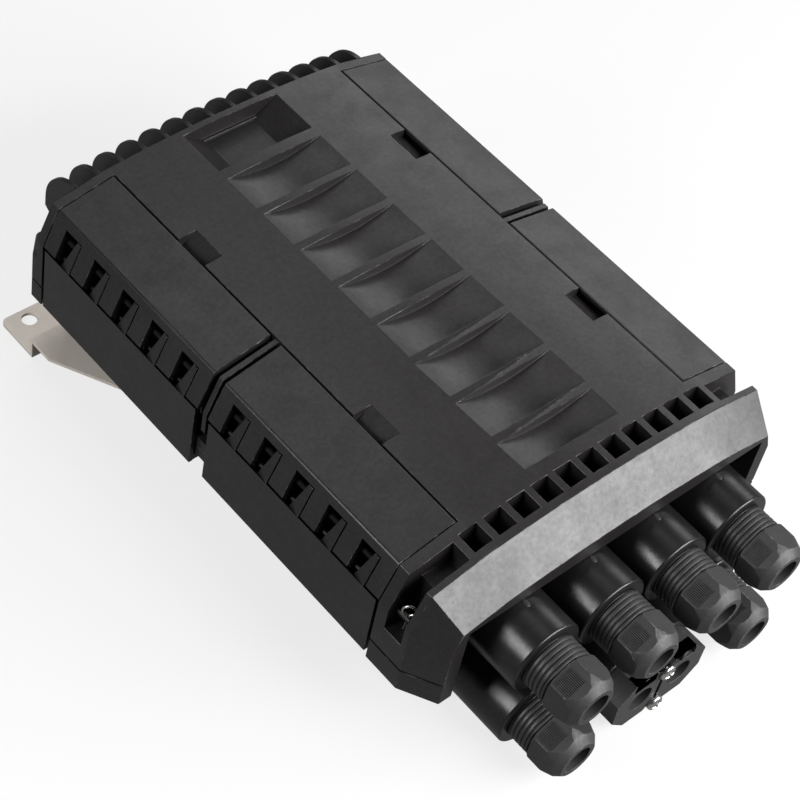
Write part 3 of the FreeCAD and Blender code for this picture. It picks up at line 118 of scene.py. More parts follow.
class ClosureColours(bpy.types.PropertyGroup):
    """Base colours of the finishes."""

    shell: bpy.props.FloatVectorProperty(
        name="Shells", description="Colour of the moulded shells", subtype="COLOR",
        default=(0.0128, 0.0113, 0.0116))
    latch: bpy.props.FloatVectorProperty(
        name="Latches", description="Colour of the levers and links", subtype="COLOR",
        default=(0.0122, 0.0114, 0.0115))
    gland: bpy.props.FloatVectorProperty(
        name="Glands", description="Colour of the ports and gland necks", subtype="COLOR",
        default=(0.0088, 0.0086, 0.009))
    nut: bpy.props.FloatVectorProperty(
        name="Nuts", description="Colour of the gland nuts and the split clamp", subtype="COLOR",
        default=(0.026, 0.0257, 0.026))
    rubber: bpy.props.FloatVectorProperty(
        name="Seals", description="Colour of the rubber seals", subtype="COLOR",
        default=(0.024, 0.024, 0.025))
    steel: bpy.props.FloatVectorProperty(
        name="Bright steel", description="Colour of pins and screws", subtype="COLOR",
        default=(0.66, 0.65, 0.63))
    # painted shade: the steel pivot rods get a near-black colour so that they read as the shade of the lever
    # slots round them
    rod: bpy.props.FloatVectorProperty(
        name="Pivot rods", description="Colour of the oiled pivot rods", subtype="COLOR",
        default=(0.035, 0.034, 0.033))
    bracket: bpy.props.FloatVectorProperty(
        name="Bracket", description="Colour of the folded steel sheet", subtype="COLOR",
        default=(0.9, 0.825, 0.745))
    tray: bpy.props.FloatVectorProperty(
        name="Trays", description="Colour of the splice trays", subtype="COLOR",
        default=(0.76, 0.76, 0.73))


class ClosureStage(bpy.types.PropertyGroup):
    """Camera and lights."""

    camera_place: bpy.props.FloatVectorProperty(
        name="Camera place", description="Where the camera stands", subtype="TRANSLATION",
        default=(-0.563, -0.635, 0.8765))
    camera_target: bpy.props.FloatVectorProperty(
        name="Camera target", description="The point in the middle of the picture", subtype="TRANSLATION",
        default=(-0.0493, -0.2153, 0.113))
    camera_roll: bpy.props.FloatProperty(
        name="Camera roll", description="Turn of the camera about its line of sight",
        default=math.radians(13.03), subtype="ANGLE")
    lens: bpy.props.FloatProperty(
        name="Lens", description="Focal length in millimetres on a 36 mm sensor", default=97.8)
    world: bpy.props.FloatProperty(
        name="World light", description="Strength of the even light from all round", default=0.06)
    floor: bpy.props.FloatProperty(
        name="Floor white", description="Share of the floor that shows plain white", default=0.75,
        subtype="FACTOR")


# Node helpers
class Nodes:
    """Short calls that add nodes to one tree and wire them up."""

    def __init__(self, tree):
        self.tree = tree

    def add(self, kind, inputs=None, **settings):
        node = self.tree.nodes.new(kind)
        for name, value in settings.items():
            setattr(node, name, value)
        for key, value in (inputs or {}).items():
            self.feed(node.inputs[key], value)
        return node

    def feed(self, socket, value):
        if isinstance(value, bpy.types.NodeSocket):
            self.tree.links.new(value, socket)
        else:
            socket.default_value = value

    def math(self, operation, *values):
        return self.add("ShaderNodeMath", dict(enumerate(values)), operation=operation).outputs[0]

    def vector(self, operation, *values):
        return self.add("ShaderNodeVectorMath", dict(enumerate(values)), operation=operation).outputs[0]

    def noise(self, place, scale, detail, roughness):
        inputs = {"Vector": place, "Scale": scale, "Detail": detail, "Roughness": roughness}
        return self.add("ShaderNodeTexNoise", inputs).outputs[0]

    def spread(self, value, low, high, to_low, to_high):
        inputs = {"Value": value, "From Min": low, "From Max": high, "To Min": to_low, "To Max": to_high}
        return self.add("ShaderNodeMapRange", inputs).outputs["Result"]

    def blend(self, factor, first, second):
        node = self.add("ShaderNodeMix", {0: factor, 6: first, 7: second}, data_type="RGBA")
        return node.outputs[2]


def rgba(colour, gain=1.0):
    return (colour[0] * gain, colour[1] * gain, colour[2] * gain, 1.0)


def new_finish(name):
    """A material with only its shader and output, and the two things every finish needs."""
    material = bpy.data.materials.new(name)
    material.use_nodes = True
    nodes = Nodes(material.node_tree)
    shader = material.node_tree.nodes["Principled BSDF"]
    place = nodes.add("ShaderNodeTexCoord").outputs["Object"]
    return material, nodes, shader, place


# Finishes
def moulded_plastic(name, colour, roughness, specular, grain, wear):
    """Black moulding: cloudy sheen, fine grain, dust specks, scuffs and pale chips on worn edges."""
    material, nodes, shader, place = new_finish(name)
    haze = nodes.noise(place, 13.0, 6.0, 0.62)
    cloud = nodes.noise(place, 62.0, 5.0, 0.6)
    ripple = nodes.noise(place, 420.0, 3.0, 0.55)
    fine = nodes.noise(place, 2600.0, 2.0, 0.5)
    drawn = nodes.add("ShaderNodeMapping", {
        "Vector": place, "Rotation": (0.2, 0.1, 0.7), "Scale": (1, 11, 11)})
    scuffs = nodes.spread(nodes.noise(drawn.outputs[0], 75.0, 5.0, 0.68), 0.62, 0.84, 0.0, 0.1)
    cells = nodes.add("ShaderNodeTexVoronoi", {"Vector": place, "Scale": 190.0}).outputs["Distance"]
    specks = nodes.math("MULTIPLY", nodes.spread(cells, 0.05, 0.1, 0.12, 0.0),
                        nodes.spread(cloud, 0.5, 0.64, 0.0, 1.0))
    edge = nodes.add("ShaderNodeAttribute", attribute_name="edge").outputs["Fac"]
    chipped = nodes.spread(nodes.noise(place, 150.0, 4.0, 0.72), 0.52, 0.68, 0.0, wear)
    worn = nodes.math("MULTIPLY", edge, chipped)
    tone = nodes.blend(nodes.spread(haze, 0.35, 0.72, 0.0, 0.7), rgba(colour), rgba(colour, 1.5))
    tone = nodes.blend(nodes.math("MAXIMUM", specks, scuffs), tone, (0.055, 0.054, 0.053, 1.0))
    tone = nodes.blend(worn, tone, (0.19, 0.19, 0.19, 1.0))
    # painted shade: faces with the groove value go near black and lose most of their gloss
    groove_shade = nodes.spread(edge, GROOVE_SHADE_MARK, 0.0, 0.25, 1.0)
    tone = nodes.blend(groove_shade, (0.0, 0.0, 0.0, 1.0), tone)
    sheen = nodes.math("ADD", nodes.spread(cloud, 0.3, 0.7, roughness - 0.05, roughness + 0.06),
                       nodes.math("MULTIPLY", worn, 0.12))
    flecks = nodes.spread(nodes.noise(place, 700.0, 4.0, 0.7), 0.3, 0.42, 0.72, 1.0)
    gloss = nodes.math("MULTIPLY", flecks, nodes.spread(ripple, 0.3, 0.7, 0.86 * specular, 1.14 * specular))
    gloss = nodes.math("MULTIPLY", gloss, groove_shade)
    height = nodes.math("ADD", nodes.math("MULTIPLY", fine, 0.6), ripple)
    bump = nodes.add("ShaderNodeBump", {"Strength": grain, "Distance": 0.00006, "Height": height})
    nodes.feed(shader.inputs["Base Color"], tone)
    nodes.feed(shader.inputs["Roughness"], sheen)
    nodes.feed(shader.inputs["Normal"], bump.outputs[0])
    nodes.feed(shader.inputs["Specular IOR Level"], gloss)
    return material


def seal_rubber(name, colour):
    """Matt rubber with a dusty bloom."""
    material, nodes, shader, place = new_finish(name)
    bloom = nodes.noise(place, 90.0, 5.0, 0.65)
    nodes.feed(shader.inputs["Base Color"],
               nodes.blend(nodes.spread(bloom, 0.4, 0.75, 0.0, 0.6), rgba(colour), rgba(colour, 2.2)))
    nodes.feed(shader.inputs["Roughness"], nodes.spread(bloom, 0.3, 0.7, 0.62, 0.8))
    bump = nodes.add("ShaderNodeBump", {"Strength": 0.2, "Distance": 0.0001,
                                        "Height": nodes.noise(place, 1500.0, 3.0, 0.6)})
    nodes.feed(shader.inputs["Normal"], bump.outputs[0])
    return material


def drawn_steel(name, colour, roughness, stretch, scale, metal):
    """Metal with fine lines drawn along one way, and faint stains."""
    material, nodes, shader, place = new_finish(name)
    drawn = nodes.add("ShaderNodeMapping", {"Vector": place, "Scale": stretch}).outputs[0]
    lines = nodes.noise(drawn, scale, 4.0, 0.6)
    stain = nodes.noise(place, 45.0, 5.0, 0.6)
    tone = nodes.blend(nodes.spread(stain, 0.35, 0.75, 0.0, 0.6), rgba(colour), rgba(colour, 0.8))
    nodes.feed(shader.inputs["Base Color"],
               nodes.blend(nodes.spread(lines, 0.3, 0.7, 0.0, 0.25), tone, rgba(colour, 1.15)))
    nodes.feed(shader.inputs["Roughness"],
               nodes.math("ADD", nodes.spread(lines, 0.3, 0.7, roughness - 0.06, roughness + 0.06),
                          nodes.spread(stain, 0.4, 0.7, 0.0, 0.07)))
    bump = nodes.add("ShaderNodeBump", {"Strength": 0.12, "Distance": 0.00005, "Height": lines})
    nodes.feed(shader.inputs["Normal"], bump.outputs[0])
    shader.inputs["Metallic"].default_value = metal
    return material


def tray_plastic(name, colour):
    """Pale smooth moulding, a little uneven in tone."""
    material, nodes, shader, place = new_finish(name)
    cloud = nodes.noise(place, 35.0, 5.0, 0.6)
    nodes.feed(shader.inputs["Base Color"],
               nodes.blend(nodes.spread(cloud, 0.35, 0.7, 0.0, 0.5), rgba(colour), rgba(colour, 0.92)))
    nodes.feed(shader.inputs["Roughness"], nodes.spread(cloud, 0.3, 0.7, 0.36, 0.48))
    bump = nodes.add("ShaderNodeBump", {"Strength": 0.1, "Distance": 0.0001,
                                        "Height": nodes.noise(place, 900.0, 3.0, 0.5)})
    nodes.feed(shader.inputs["Normal"], bump.outputs[0])
    return material


FINISHES = {
    "black_shell": lambda name, c: moulded_plastic(name, c.shell, 0.36, 0.54, 0.22, 0.42),
    "black_latch": lambda name, c: moulded_plastic(name, c.latch, 0.35, 0.54, 0.2, 0.8),
    "black_gland": lambda name, c: moulded_plastic(name, c.gland, 0.3, 0.5, 0.1, 0.3),
    "gland_thread": lambda name, c: moulded_plastic(name, c.nut, 0.46, 0.5, 0.35, 0.3),
    # painted shade: the link pins and pivot rods are made dark and dull so that the slots read as shade
    "pin_painted_shade": lambda name, c: moulded_plastic(name, c.gland, 0.6, 0.1, 0.1, 0.0),
    "dark_nut": lambda name, c: moulded_plastic(name, c.nut, 0.54, 0.6, 0.5, 0.9),
    "seal_rubber": lambda name, c: seal_rubber(name, c.rubber),
    "bright_steel": lambda name, c: drawn_steel(name, c.steel, 0.24, (1, 1, 6), 700.0, 1.0),
    "rod_painted_shade": lambda name, c: drawn_steel(name, c.rod, 0.45, (6, 1, 6), 300.0, 1.0),
    "bracket_steel": lambda name, c: drawn_steel(name, c.bracket, 0.45, (14, 1, 14), 260.0, 0.1),
    "tray_plastic": lambda name, c: tray_plastic(name, c.tray),
}


def finish(look):
    """The material of a slot or of a look within one, made when it is first asked for."""
    name = "finish_" + look
    return bpy.data.materials.get(name) or FINISHES[look](name, bpy.context.scene.closure_colours)


# Mesh helpers
def slot_of(node):
    """The record's material slot of a CAD node."""
    for part in frame["record"]["subparts"]:
        if part["node"] == node:
            return part["material_slot"]
    raise ValueError("the record has no node named " + node)


def body_of(node):
    """The record's body that carries a CAD node."""
    for body, nodes in frame["record"]["behaviour"]["bodies"].items():
        if node in nodes:
            return body
    raise ValueError("no body holds " + node)


def centre_of(node):
    low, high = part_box(node)
    return (low + high) / 2


def new_object(name, mesh):
    obj = bpy.data.objects.new(name, mesh)
    bpy.context.scene.collection.objects.link(obj)
    return obj


def plain_mesh(obj):
    """A new mesh of the object with its modifiers done."""
    graph = bpy.context.evaluated_depsgraph_get()
    return bpy.data.meshes.new_from_object(obj.evaluated_get(graph), depsgraph=graph)


def evaluated(obj):
    """The object with its modifiers done and taken off."""
    mesh = plain_mesh(obj)
    obj.modifiers.clear()
    obj.data = mesh
    return obj


def dress(obj, body, slot, *nodes, look=None):
    """Give a finished piece the material of its slot or look, attach it to its body, and hide the CAD nodes
    it stands for.
    """
    obj.data.materials.clear()
    obj.data.materials.append(finish(look or slot))
    obj.data.polygons.foreach_set("material_index", [0] * len(obj.data.polygons))
    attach(obj, body)
    if nodes:
        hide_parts(*nodes)
    return obj


def merged_copy(node):
    """A CAD node's mesh with its loose triangles joined and its flat faces made whole."""
    bm = bmesh.new()
    bm.from_mesh(frame["nodes"][node].data)
    bmesh.ops.remove_doubles(bm, verts=bm.verts, dist=WELD)
    bmesh.ops.dissolve_limit(bm, angle_limit=math.radians(0.4), verts=bm.verts, edges=bm.edges)
    return bm


def crisp(edge):
    """Whether an edge is a corner, or a crease between two broad faces."""
    if not edge.is_manifold:
        return True
    bend = edge.calc_face_angle()
    if bend < SOFT_BEND:
        return False
    breadths = [face.calc_area() / max(e.calc_length() for e in face.edges) for face in edge.link_faces]
    return bend > CRISP_BEND or min(breadths) > BROAD_FACE


def roomy(edge, width):
    """Whether both faces of an edge are wide enough all along it for a round of this width."""
    start, end = (vert.co for vert in edge.verts)
    along = end - start
    for face in edge.link_faces:
        for vert in face.verts:
            if vert not in edge.verts:
                share = (vert.co - start).dot(along) / along.length_squared
                gap = (vert.co - start - share * along).length
                if 0.0 < share < 1.0 and gap < ROUND_ROOM * width:
                    return False
    return True


def rounded_copy(node, width, hollows=False, strips=False, sharp=math.radians(28)):
    """A piece like the CAD node, with its sharp edges rounded and the outer ones marked for wear."""
    bm = merged_copy(node)
    layer = bm.faces.layers.float.new("edge")
    edges = [e for e in bm.edges if e.is_manifold and (hollows or e.is_convex)
             and e.calc_face_angle() > sharp and (not strips or roomy(e, width))]
    made = bmesh.ops.bevel(bm, geom=edges, offset=width, offset_type="OFFSET", segments=2, profile=0.5,
                           affect="EDGES", clamp_overlap=False)
    for face in made["faces"]:
        face[layer] = EDGE_MARK if sum(e.calc_face_angle_signed(0.0) for e in face.edges) > 0 else 0.0
    bmesh.ops.dissolve_degenerate(bm, edges=bm.edges, dist=SLIVER)
    for face in bm.faces:
        face.smooth = True
    for edge in bm.edges:
        edge.smooth = not crisp(edge)
    mesh = bpy.data.meshes.new(node)
    bm.to_mesh(mesh)
    bm.free()
    obj = new_object("fine_" + node, mesh)
    weighted = obj.modifiers.new("weighted", "WEIGHTED_NORMAL")
    weighted.keep_sharp = True
    return evaluated(obj)


def rounded_nodes(nodes, width, look=None, **choices):
    """Dress rounded copies that stand for CAD nodes, each on its own body."""
    for node in nodes:
        dress(rounded_copy(node, width, **choices), body_of(node), slot_of(node), node, look=look)


def finish_nodes(nodes, look=None):
    """Give CAD nodes that stay as they are the finish of their slot, or another look."""
    for node in nodes:
        obj = frame["nodes"][node]
        obj.data.materials.clear()
        obj.data.materials.append(finish(look or slot_of(node)))


def lathe(name, profile, segments):
    """A closed mesh turned about the Y axis from a closed loop of (radius, y) points."""
    bm = bmesh.new()
    rings = []
    for i in range(segments):
        angle = 2 * math.pi * i / segments
        rings.append([bm.verts.new((r * math.cos(angle), y, r * math.sin(angle))) for r, y in profile])
    count = len(profile)
    for i in range(segments):
        here, after = rings[i], rings[(i + 1) % segments]
        for j in range(count):
            bm.faces.new((here[j], here[(j + 1) % count], after[(j + 1) % count], after[j]))
    bmesh.ops.remove_doubles(bm, verts=bm.verts, dist=SLIVER)
    bmesh.ops.recalc_face_normals(bm, faces=bm.faces)
    for face in bm.faces:
        face.smooth = True
    mesh = bpy.data.meshes.new(name)
    bm.to_mesh(mesh)
    bm.free()
    mesh.set_sharp_from_angle(angle=math.radians(35))
    return mesh


def points_mesh(name, places):
    """Loose points for a tree to set its copies on."""
    mesh = bpy.data.meshes.new(name)
    mesh.from_pydata([tuple(place) for place in places], [], [])
    return mesh


# Geometry node trees
def new_tree(name, sockets):
    """A geometry tree with named inputs, and the helper that fills it."""
    tree = bpy.data.node_groups.new(name, "GeometryNodeTree")
    tree.interface.new_socket(name="Geometry", in_out="OUTPUT", socket_type="NodeSocketGeometry")
    for socket, kind in [("Geometry", "Geometry")] + sockets:
        tree.interface.new_socket(name=socket, in_out="INPUT", socket_type="NodeSocket" + kind)
    nodes = Nodes(tree)
    source = nodes.add("NodeGroupInput")
    return tree, nodes, source.outputs


def close_tree(tree, nodes, geometry, material):
    """End a tree in plain geometry with its material."""
    whole = nodes.add("GeometryNodeRealizeInstances", {"Geometry": geometry})
    done = nodes.add("GeometryNodeSetMaterial", {"Geometry": whole.outputs[0], "Material": material})
    output = nodes.add("NodeGroupOutput")
    tree.links.new(done.outputs[0], output.inputs[0])
    return tree


def set_tree(obj, tree, values):
    """Put a tree on an object with its inputs set."""
    modifier = obj.modifiers.new("grown", "NODES")
    modifier.node_group = tree
    for item in tree.interface.items_tree:
        if item.in_out == "INPUT" and item.name in values:
            modifier[item.identifier] = values[item.name]


def apply_tree(obj, tree, values):
    """Run a tree on an object and keep the result as a plain mesh."""
    set_tree(obj, tree, values)
    return evaluated(obj)


def copies_tree():
    """One part set down at every point."""
    tree, nodes, given = new_tree("copies at points", [("Part", "Object"), ("Material", "Material")])
    part = nodes.add("GeometryNodeObjectInfo", {"Object": given["Part"]}, transform_space="ORIGINAL")
    copies = nodes.add("GeometryNodeInstanceOnPoints",
                       {"Points": given["Geometry"], "Instance": part.outputs["Geometry"]})
    return close_tree(tree, nodes, copies.outputs[0], given["Material"])


def thread_tree():
    """A helical thread raised on the root of a turned neck, then set down at every gland."""
    tree, nodes, given = new_tree("threaded necks", [
        ("Neck", "Object"), ("Pitch", "Float"), ("Depth", "Float"), ("Root", "Float"), ("Start", "Float"),
        ("End", "Float"), ("Material", "Material")])
    neck = nodes.add("GeometryNodeObjectInfo", {"Object": given["Neck"]}, transform_space="ORIGINAL")
    place = nodes.add("GeometryNodeInputPosition").outputs[0]
    axes = nodes.add("ShaderNodeSeparateXYZ", {0: place}).outputs
    turn = nodes.math("DIVIDE", nodes.math("ARCTAN2", axes[2], axes[0]), 2 * math.pi)
    along = nodes.math("DIVIDE", nodes.math("SUBTRACT", axes[1], given["Start"]), given["Pitch"])
    phase = nodes.math("FRACT", nodes.math("ADD", along, turn))
    ridge = nodes.math("SUBTRACT", 1.0, nodes.math("ABSOLUTE", nodes.math("MULTIPLY_ADD", phase, 2.0, -1.0)))
    crest = nodes.add("ShaderNodeMapRange", {"Value": ridge, "From Min": 0.1, "From Max": 0.5},
                      interpolation_type="SMOOTHSTEP").outputs["Result"]
    fade = nodes.math("MINIMUM", nodes.math("SUBTRACT", axes[1], given["End"]),
                      nodes.math("SUBTRACT", given["Start"], axes[1]))
    fade = nodes.spread(fade, 0.0, 0.35 * MM, 0.0, 1.0)
    radius = nodes.add("ShaderNodeVectorMath", {0: nodes.add(
        "ShaderNodeCombineXYZ", {0: axes[0], 2: axes[2]}).outputs[0]}, operation="LENGTH").outputs["Value"]
    outside = nodes.math("GREATER_THAN", radius, nodes.math("SUBTRACT", given["Root"], 0.05 * MM))
    rise = nodes.math("MULTIPLY", nodes.math("MULTIPLY", crest, fade),
                      nodes.math("MULTIPLY", given["Depth"], outside))
    out = nodes.add("ShaderNodeCombineXYZ", {0: nodes.math("DIVIDE", axes[0], radius),
                                             2: nodes.math("DIVIDE", axes[2], radius)}).outputs[0]
    offset = nodes.add("ShaderNodeVectorMath", {0: out, "Scale": rise}, operation="SCALE").outputs[0]
    cut = nodes.add("GeometryNodeSetPosition", {"Geometry": neck.outputs["Geometry"], "Offset": offset})
    copies = nodes.add("GeometryNodeInstanceOnPoints",
                       {"Points": given["Geometry"], "Instance": cut.outputs[0]})
    return close_tree(tree, nodes, copies.outputs[0], given["Material"])


def grip_tree():
    """Fine ribs over a ground plate painted as shade between them, on every second flat of a nut, joined to
    the nut they stand on.
    """
    tree, nodes, given = new_tree("nut grip ribs", [
        ("Count", "Int"), ("Pitch", "Float"), ("Height", "Float"), ("Length", "Float"), ("Flat", "Float"),
        ("Aside", "Float"), ("Turn", "Float"), ("Centre", "Vector"), ("Material", "Material")])
    size = nodes.add("ShaderNodeCombineXYZ", {
        0: nodes.math("MULTIPLY", given["Pitch"], 0.55), 1: given["Length"],
        2: nodes.math("MULTIPLY", given["Height"], 2.0)}).outputs[0]
    rib = nodes.add("GeometryNodeMeshCube", {"Size": size}).outputs["Mesh"]
    half = nodes.math("MULTIPLY", nodes.math("SUBTRACT", given["Count"], 1.0), 0.5)
    first = nodes.math("MULTIPLY", nodes.math("MULTIPLY_ADD", half, given["Pitch"], given["Aside"]), -1.0)
    start = nodes.add("ShaderNodeCombineXYZ", {0: first, 2: given["Flat"]}).outputs[0]
    step = nodes.add("ShaderNodeCombineXYZ", {0: given["Pitch"]}).outputs[0]
    row = nodes.add("GeometryNodeMeshLine", {
        "Count": given["Count"], "Start Location": start, "Offset": step}, mode="OFFSET")
    ribs = nodes.add("GeometryNodeInstanceOnPoints", {"Points": row.outputs[0], "Instance": rib})
    plate = nodes.add("ShaderNodeCombineXYZ", {
        0: nodes.math("MULTIPLY", given["Count"], given["Pitch"]), 1: given["Length"],
        2: given["Height"]}).outputs[0]
    # painted shade: a dark plate laid under the ribs stands in for the shade between them
    shade_ground = nodes.add("GeometryNodeMeshCube", {"Size": plate})
    middle = nodes.add("ShaderNodeCombineXYZ", {
        0: nodes.math("MULTIPLY", given["Aside"], -1.0),
        2: nodes.math("MULTIPLY_ADD", given["Height"], -0.4, given["Flat"])}).outputs[0]
    shade_ground = nodes.add("GeometryNodeTransform", {"Geometry": shade_ground.outputs["Mesh"], "Translation": middle})
    patch = nodes.add("GeometryNodeJoinGeometry")
    for geometry, mark in ((ribs, RIB_MARK), (shade_ground, GROOVE_SHADE_MARK)):
        whole = nodes.add("GeometryNodeRealizeInstances", {"Geometry": geometry.outputs[0]})
        marked = nodes.add("GeometryNodeStoreNamedAttribute", {
            "Geometry": whole.outputs[0], "Name": "edge", "Value": mark}, data_type="FLOAT", domain="FACE")
        tree.links.new(marked.outputs[0], patch.inputs[0])
    flats = nodes.add("GeometryNodeMeshLine", {"Count": 3, "Offset": (0, 0, 0)}, mode="OFFSET")
    index = nodes.add("GeometryNodeInputIndex").outputs[0]
    turn = nodes.math("MULTIPLY_ADD", index, math.radians(120), given["Turn"])
    spin = nodes.add("ShaderNodeCombineXYZ", {1: turn}).outputs[0]
    patches = nodes.add("GeometryNodeInstanceOnPoints", {
        "Points": flats.outputs[0], "Instance": patch.outputs[0], "Rotation": spin})
    placed = nodes.add("GeometryNodeTransform", {
        "Geometry": patches.outputs[0], "Translation": given["Centre"]})
    joined = nodes.add("GeometryNodeJoinGeometry")
    tree.links.new(given["Geometry"], joined.inputs[0])
    tree.links.new(placed.outputs[0], joined.inputs[0])
    return close_tree(tree, nodes, joined.outputs[0], given["Material"])


def wire_tree():
    """Round wire along a path, thick at the eye and thin in the legs."""
    tree, nodes, given = new_tree("wire along path", [("Wire", "Float"), ("Material", "Material")])
    ring = nodes.add("GeometryNodeCurvePrimitiveCircle", {"Resolution": 12, "Radius": given["Wire"]})
    wire = nodes.add("GeometryNodeCurveToMesh", {
        "Curve": given["Geometry"], "Profile Curve": ring.outputs["Curve"], "Fill Caps": True})
    smooth = nodes.add("GeometryNodeSetShadeSmooth", {"Geometry": wire.outputs[0]})
    return close_tree(tree, nodes, smooth.outputs[0], given["Material"])


# Operators that make the pieces
class MakeShells(bpy.types.Operator):
    """Cover and tub with rounded edges, and the seals between them"""
    bl_idname = "closure.make_shells"
    bl_label = "Shells"

    def execute(self, context):
        sizes = context.scene.closure_sizes
        rounded_nodes(["upper_shell"], sizes.shell_edge, hollows=True, strips=True)
        rounded_nodes(["lower_shell"], sizes.shell_edge)
        finish_nodes(["seam_gasket", "port_gasket"])
        return {"FINISHED"}


class MakeLatches(bpy.types.Operator):
    """Levers and links with rounded edges, and the pins they turn on"""
    bl_idname = "closure.make_latches"
    bl_label = "Latches"

    # the long fold of a lever bends less than this and stays crisp
    lever_sharp = math.radians(62)

    def execute(self, context):
        sizes = context.scene.closure_sizes
        rounded_nodes(["latch_lever_" + tag for tag in LATCHES], sizes.latch_edge, sharp=self.lever_sharp)
        rounded_nodes(["latch_link_" + tag for tag in LATCHES], sizes.latch_edge, strips=True)
        # painted shade: the pins and rods inside the slots are made dark and dull to stand in for the slots'
        # shade
        finish_nodes(["link_pin_" + tag for tag in LATCHES], look="pin_painted_shade")
        finish_nodes(["pivot_rod_" + side for side in SIDES], look="rod_painted_shade")
        return {"FINISHED"}


class MakeSplitPins(bpy.types.Operator):
    """Wire split pins bent round an eye, with their legs through the pivot rods"""
    bl_idname = "closure.make_split_pins"
    bl_label = "Split pins"

    eye = 3.2 * MM
    head_room = 0.8 * MM
    knee_height = 4.0 * MM
    leg_gap = 0.36 * MM
    leg_share = 0.5
    mouth = math.radians(12)
    steps = 28
    # way across the eye, seen from above on the left side
    turn = (0.632, -0.775)

    def path(self, centre_x, low, high):
        """Points and wire shares from one leg's foot, round the eye, to the other foot."""
        across = Vector((-math.copysign(self.turn[0], centre_x), self.turn[1], 0.0))
        foot = Vector((centre_x, (low.y + high.y) / 2, low.z))
        middle = foot + Vector((0, 0, high.z - low.z - self.eye - self.head_room))
        knee = Vector((0, 0, self.knee_height))
        points = [(foot - 2.2 * self.leg_gap * across, self.leg_share),
                  (foot + knee - self.leg_gap * across, self.leg_share)]
        for i in range(self.steps + 1):
            angle = -math.pi / 2 - self.mouth - (2 * math.pi - 2 * self.mouth) * i / self.steps
            spot = middle + self.eye * (math.cos(angle) * across + math.sin(angle) * Vector((0, 0, 1)))
            points.append((spot, 1.0))
        points.append((foot + knee + self.leg_gap * across, self.leg_share))
        points.append((foot + 0.15 * knee + 2.2 * self.leg_gap * across, self.leg_share))
        return points

    def execute(self, context):
        low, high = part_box("split_pins")
        curve = bpy.data.curves.new("split_pin_paths", "CURVE")
        curve.dimensions = "3D"
        for side in SIDES:
            points = self.path(centre_of("pivot_rod_" + side).x, low, high)
            spline = curve.splines.new("POLY")
            spline.points.add(len(points) - 1)
            for point, (place, share) in zip(spline.points, points):
                point.co = (*place, 1.0)
                point.radius = share
        paths = new_object("split_pin_paths", curve)
        values = {"Wire": context.scene.closure_sizes.wire, "Material": finish("bright_steel")}
        set_tree(paths, wire_tree(), values)
        mesh = plain_mesh(paths)
        bpy.data.objects.remove(paths)
        dress(new_object("split_pin_wires", mesh), "shell", "bright_steel", "split_pins")
        return {"FINISHED"}


class MakePorts(bpy.types.Operator):
    """Port block with rounded edges and the moulding marks on its upper ports"""
    bl_idname = "closure.make_ports"
    bl_label = "Ports"

    port_radius = 20.3 * MM
    mark_height = 0.35 * MM
    mark_sink = 0.25 * MM
    mark_from_plate = 24.0 * MM
    mark_breadth = 0.3
    mark_around = 28
    # radius and drop of the dome, as shares of its size
    dome = ((0.0, 0.0), (0.3, -0.04), (0.55, -0.15), (0.75, -0.34), (0.9, -0.62), (1.0, -1.0), (0.0, -1.0))

    def mark(self, length):
        """A low oval dome."""
        mesh = lathe("gate_mark", self.dome, self.mark_around)
        turn = Matrix.Rotation(math.radians(90), 4, "X")
        size = Matrix.Diagonal((length * self.mark_breadth, length / 2, self.mark_height + self.mark_sink, 1))
        mesh.transform(size @ turn)
        return new_object("gate_mark", mesh)

    def execute(self, context):
        sizes = context.scene.closure_sizes
        rounded_nodes(["port_block"], sizes.shell_edge)
        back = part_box("port_block")[1].y
        spots = []
        for n in UPPER_GLANDS:
            centre = centre_of("gland_neck_%d" % n)
            spots.append((centre.x, back - self.mark_from_plate,
                          centre.z + self.port_radius + self.mark_height))
        part = self.mark(sizes.gate_length)
        marks = new_object("gate_marks", points_mesh("gate_marks", spots))
        apply_tree(marks, copies_tree(), {"Part": part, "Material": finish("gland_thread")})
        bpy.data.objects.remove(part)
        dress(marks, "shell", "black_gland", look="gland_thread")
        return {"FINISHED"}


class MakeNecks(bpy.types.Operator):
    """Gland necks with a real helical thread, and their seals"""
    bl_idname = "closure.make_necks"
    bl_label = "Gland necks"

    root = 14.3 * MM
    tip = 11.5 * MM
    bore = 8.4 * MM
    plug = 15.0 * MM
    tip_length = 9.5 * MM
    tip_ease = 0.4 * MM
    ring_step = 0.17 * MM
    around = 96

    def execute(self, context):
        sizes = context.scene.closure_sizes
        low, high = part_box("gland_neck_1")
        back = high.y - low.y
        start = back - self.plug
        end = self.tip_length
        rings = round((start - end) / self.ring_step)
        profile = [(self.bore, back), (self.root, back)]
        profile += [(self.root, start - (start - end) * i / rings) for i in range(rings + 1)]
        profile += [(self.tip, end), (self.tip, self.tip_ease), (self.tip - self.tip_ease, 0.0),
                    (self.bore, 0.0)]
        neck = new_object("plain_neck", lathe("plain_neck", profile, self.around))
        places = []
        for n in GLANDS:
            centre = centre_of("gland_neck_%d" % n)
            places.append((centre.x, low.y, centre.z))
        necks = new_object("gland_necks", points_mesh("gland_necks", places))
        apply_tree(necks, thread_tree(), {
            "Neck": neck, "Pitch": sizes.thread_pitch, "Depth": sizes.thread_depth, "Root": self.root,
            "Start": start, "End": end, "Material": finish("gland_thread")})
        bpy.data.objects.remove(neck)
        dress(necks, "shell", "black_gland", *["gland_neck_%d" % n for n in GLANDS], look="gland_thread")
        finish_nodes(["gland_seal_%d" % n for n in GLANDS])
        return {"FINISHED"}


